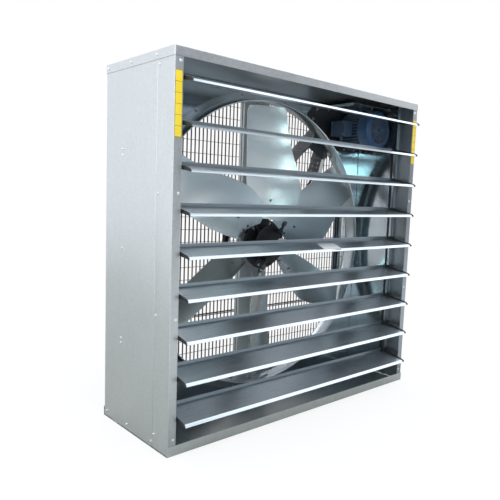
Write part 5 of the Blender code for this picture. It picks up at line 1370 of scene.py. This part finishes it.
def addTerminalBox(shape):
    low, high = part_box("terminal_box")
    box, inset, margin = bmesh.new(), shape.inset, shape.screwMargin
    addBox(box, low + Vector((shape.step, inset, inset)), high - Vector((0.0, inset, inset)))
    addBox(box, low, (low.x + shape.lid, high.y, high.z))
    middle = (low + high) / 2
    top, nut, end = ((middle.x, middle.y, low.z + height)
                     for height in (shape.glandTop, shape.glandNut, shape.glandEnd))
    addRod(box, top, nut, shape.nut, 6)
    addRod(box, nut, end, shape.neck, 20, shape.neckEnd)
    addPiece("junction_box", box, navyPaint, stands=("terminal_box",),
             bevel=shape.edge)
    corners = [((low.x, y, z), (-1, 0, 0)) for y in (low.y + margin, high.y - margin)
               for z in (low.z + margin, high.z - margin)]
    addFasteners("junction_screws", "screw", shape.screwSize, corners)


mountingShape = Settings(
    plateY=0.1067, plateSize=0.015, footX=0.042, footY=(-0.008, 0.048), footSize=0.013,
    plateBolts=((0.345, 1.340), (0.430, 1.348), (0.640, 1.345), (0.640, 1.165), (0.560, 1.162),
                (0.318, 1.290)))


def addMotorMounting(shape, motor):
    softened("motor_plate", blackPaint, housing, 0.0005)
    places = [((x, shape.plateY, z), toFront) for x, z in shape.plateBolts]
    addFasteners("plate_bolts", "bolt", shape.plateSize, places)
    feet = [((motorPlace[0] + side * shape.footX, y, motor.shelfZ - motor.footSheet), (0, 0, -1))
            for side in (-1, 1) for y in shape.footY]
    addFasteners("foot_bolts", "bolt", shape.footSize, feet)


addMotorFrame(motorShape)
addMotorCover(coverShape)
addCoolingFan(fanShape, coverShape.frontY)
addMotorScrews(coverShape)
addTerminalBox(boxShape)
addMotorMounting(mountingShape, motorShape)
print("motor done")


# blank films on the front flanges: each has a dark border and six empty fields

filmShape = Settings(
    films=((-0.6865, -0.6580, 1.089, 1.303), (0.6580, 0.6865, 1.089, 1.300)), round=0.003,
    filmY=(-0.2386, -0.2382), inset=(0.0003, 0.0005), lineY=(-0.2388, -0.2385), line=0.0005,
    lineGap=0.0011, fields=6)


def addFilms(shape):
    film, lines, half = bmesh.new(), bmesh.new(), shape.line
    (back, ahead), (insetX, insetZ) = shape.lineY, shape.inset
    for left, right, low, high in shape.films:
        start = (left, (low + high) / 2)
        corners = roundedPath([start, (left, high), (right, high), (right, low), (left, low), start],
                              shape.round)
        addPrism(film, corners[:-1], *shape.filmY)
        left, right, low, high = left + insetX, right - insetX, low + insetZ, high - insetZ
        for x in (left + half, right - half):
            addBox(lines, (x - half, back, low), (x + half, ahead, high))
        for step in range(shape.fields + 1):
            z = low + half + (high - low - 2 * half) * step / shape.fields
            addBox(lines, (left + shape.lineGap, back, z - half), (right - shape.lineGap, ahead, z + half))
    addPiece("flange_films", film, yellowFilm)
    addPiece("film_lines", lines, blackPlastic)


# a blank label and rivets on the sloping plate of the fifth slat

labelShape = Settings(
    corners=((0.0880, -0.1680), (0.1895, -0.1800), (0.1290, -0.2790), (0.0282, -0.2690)),
    low=0.0001, high=0.0004, rivets=((0.0025, -0.1791), (0.0565, -0.1792), (-0.0293, -0.2692)),
    rivetSize=0.0075, plateY=-0.138, plateZ=0.7158, plateSlope=0.127, plateFacing=(0, -0.126, 0.992))


def addLabel(shape):
    def onPlate(x, y, rise=0.0):
        return (x, y, shape.plateZ + shape.plateSlope * (y - shape.plateY) + rise)
    label = bmesh.new()
    addLoft(label, *([onPlate(x, y, rise) for x, y in shape.corners] for rise in (shape.low, shape.high)))
    addPiece("slat_label", label, whiteFilm, "slat_5")
    rivets = [(onPlate(x, y), shape.plateFacing) for x, y in shape.rivets]
    addFasteners("slat_rivets", "rivet", shape.rivetSize, rivets, brightSteel, "slat_5")


addFilms(filmShape)
addLabel(labelShape)
print("films done")
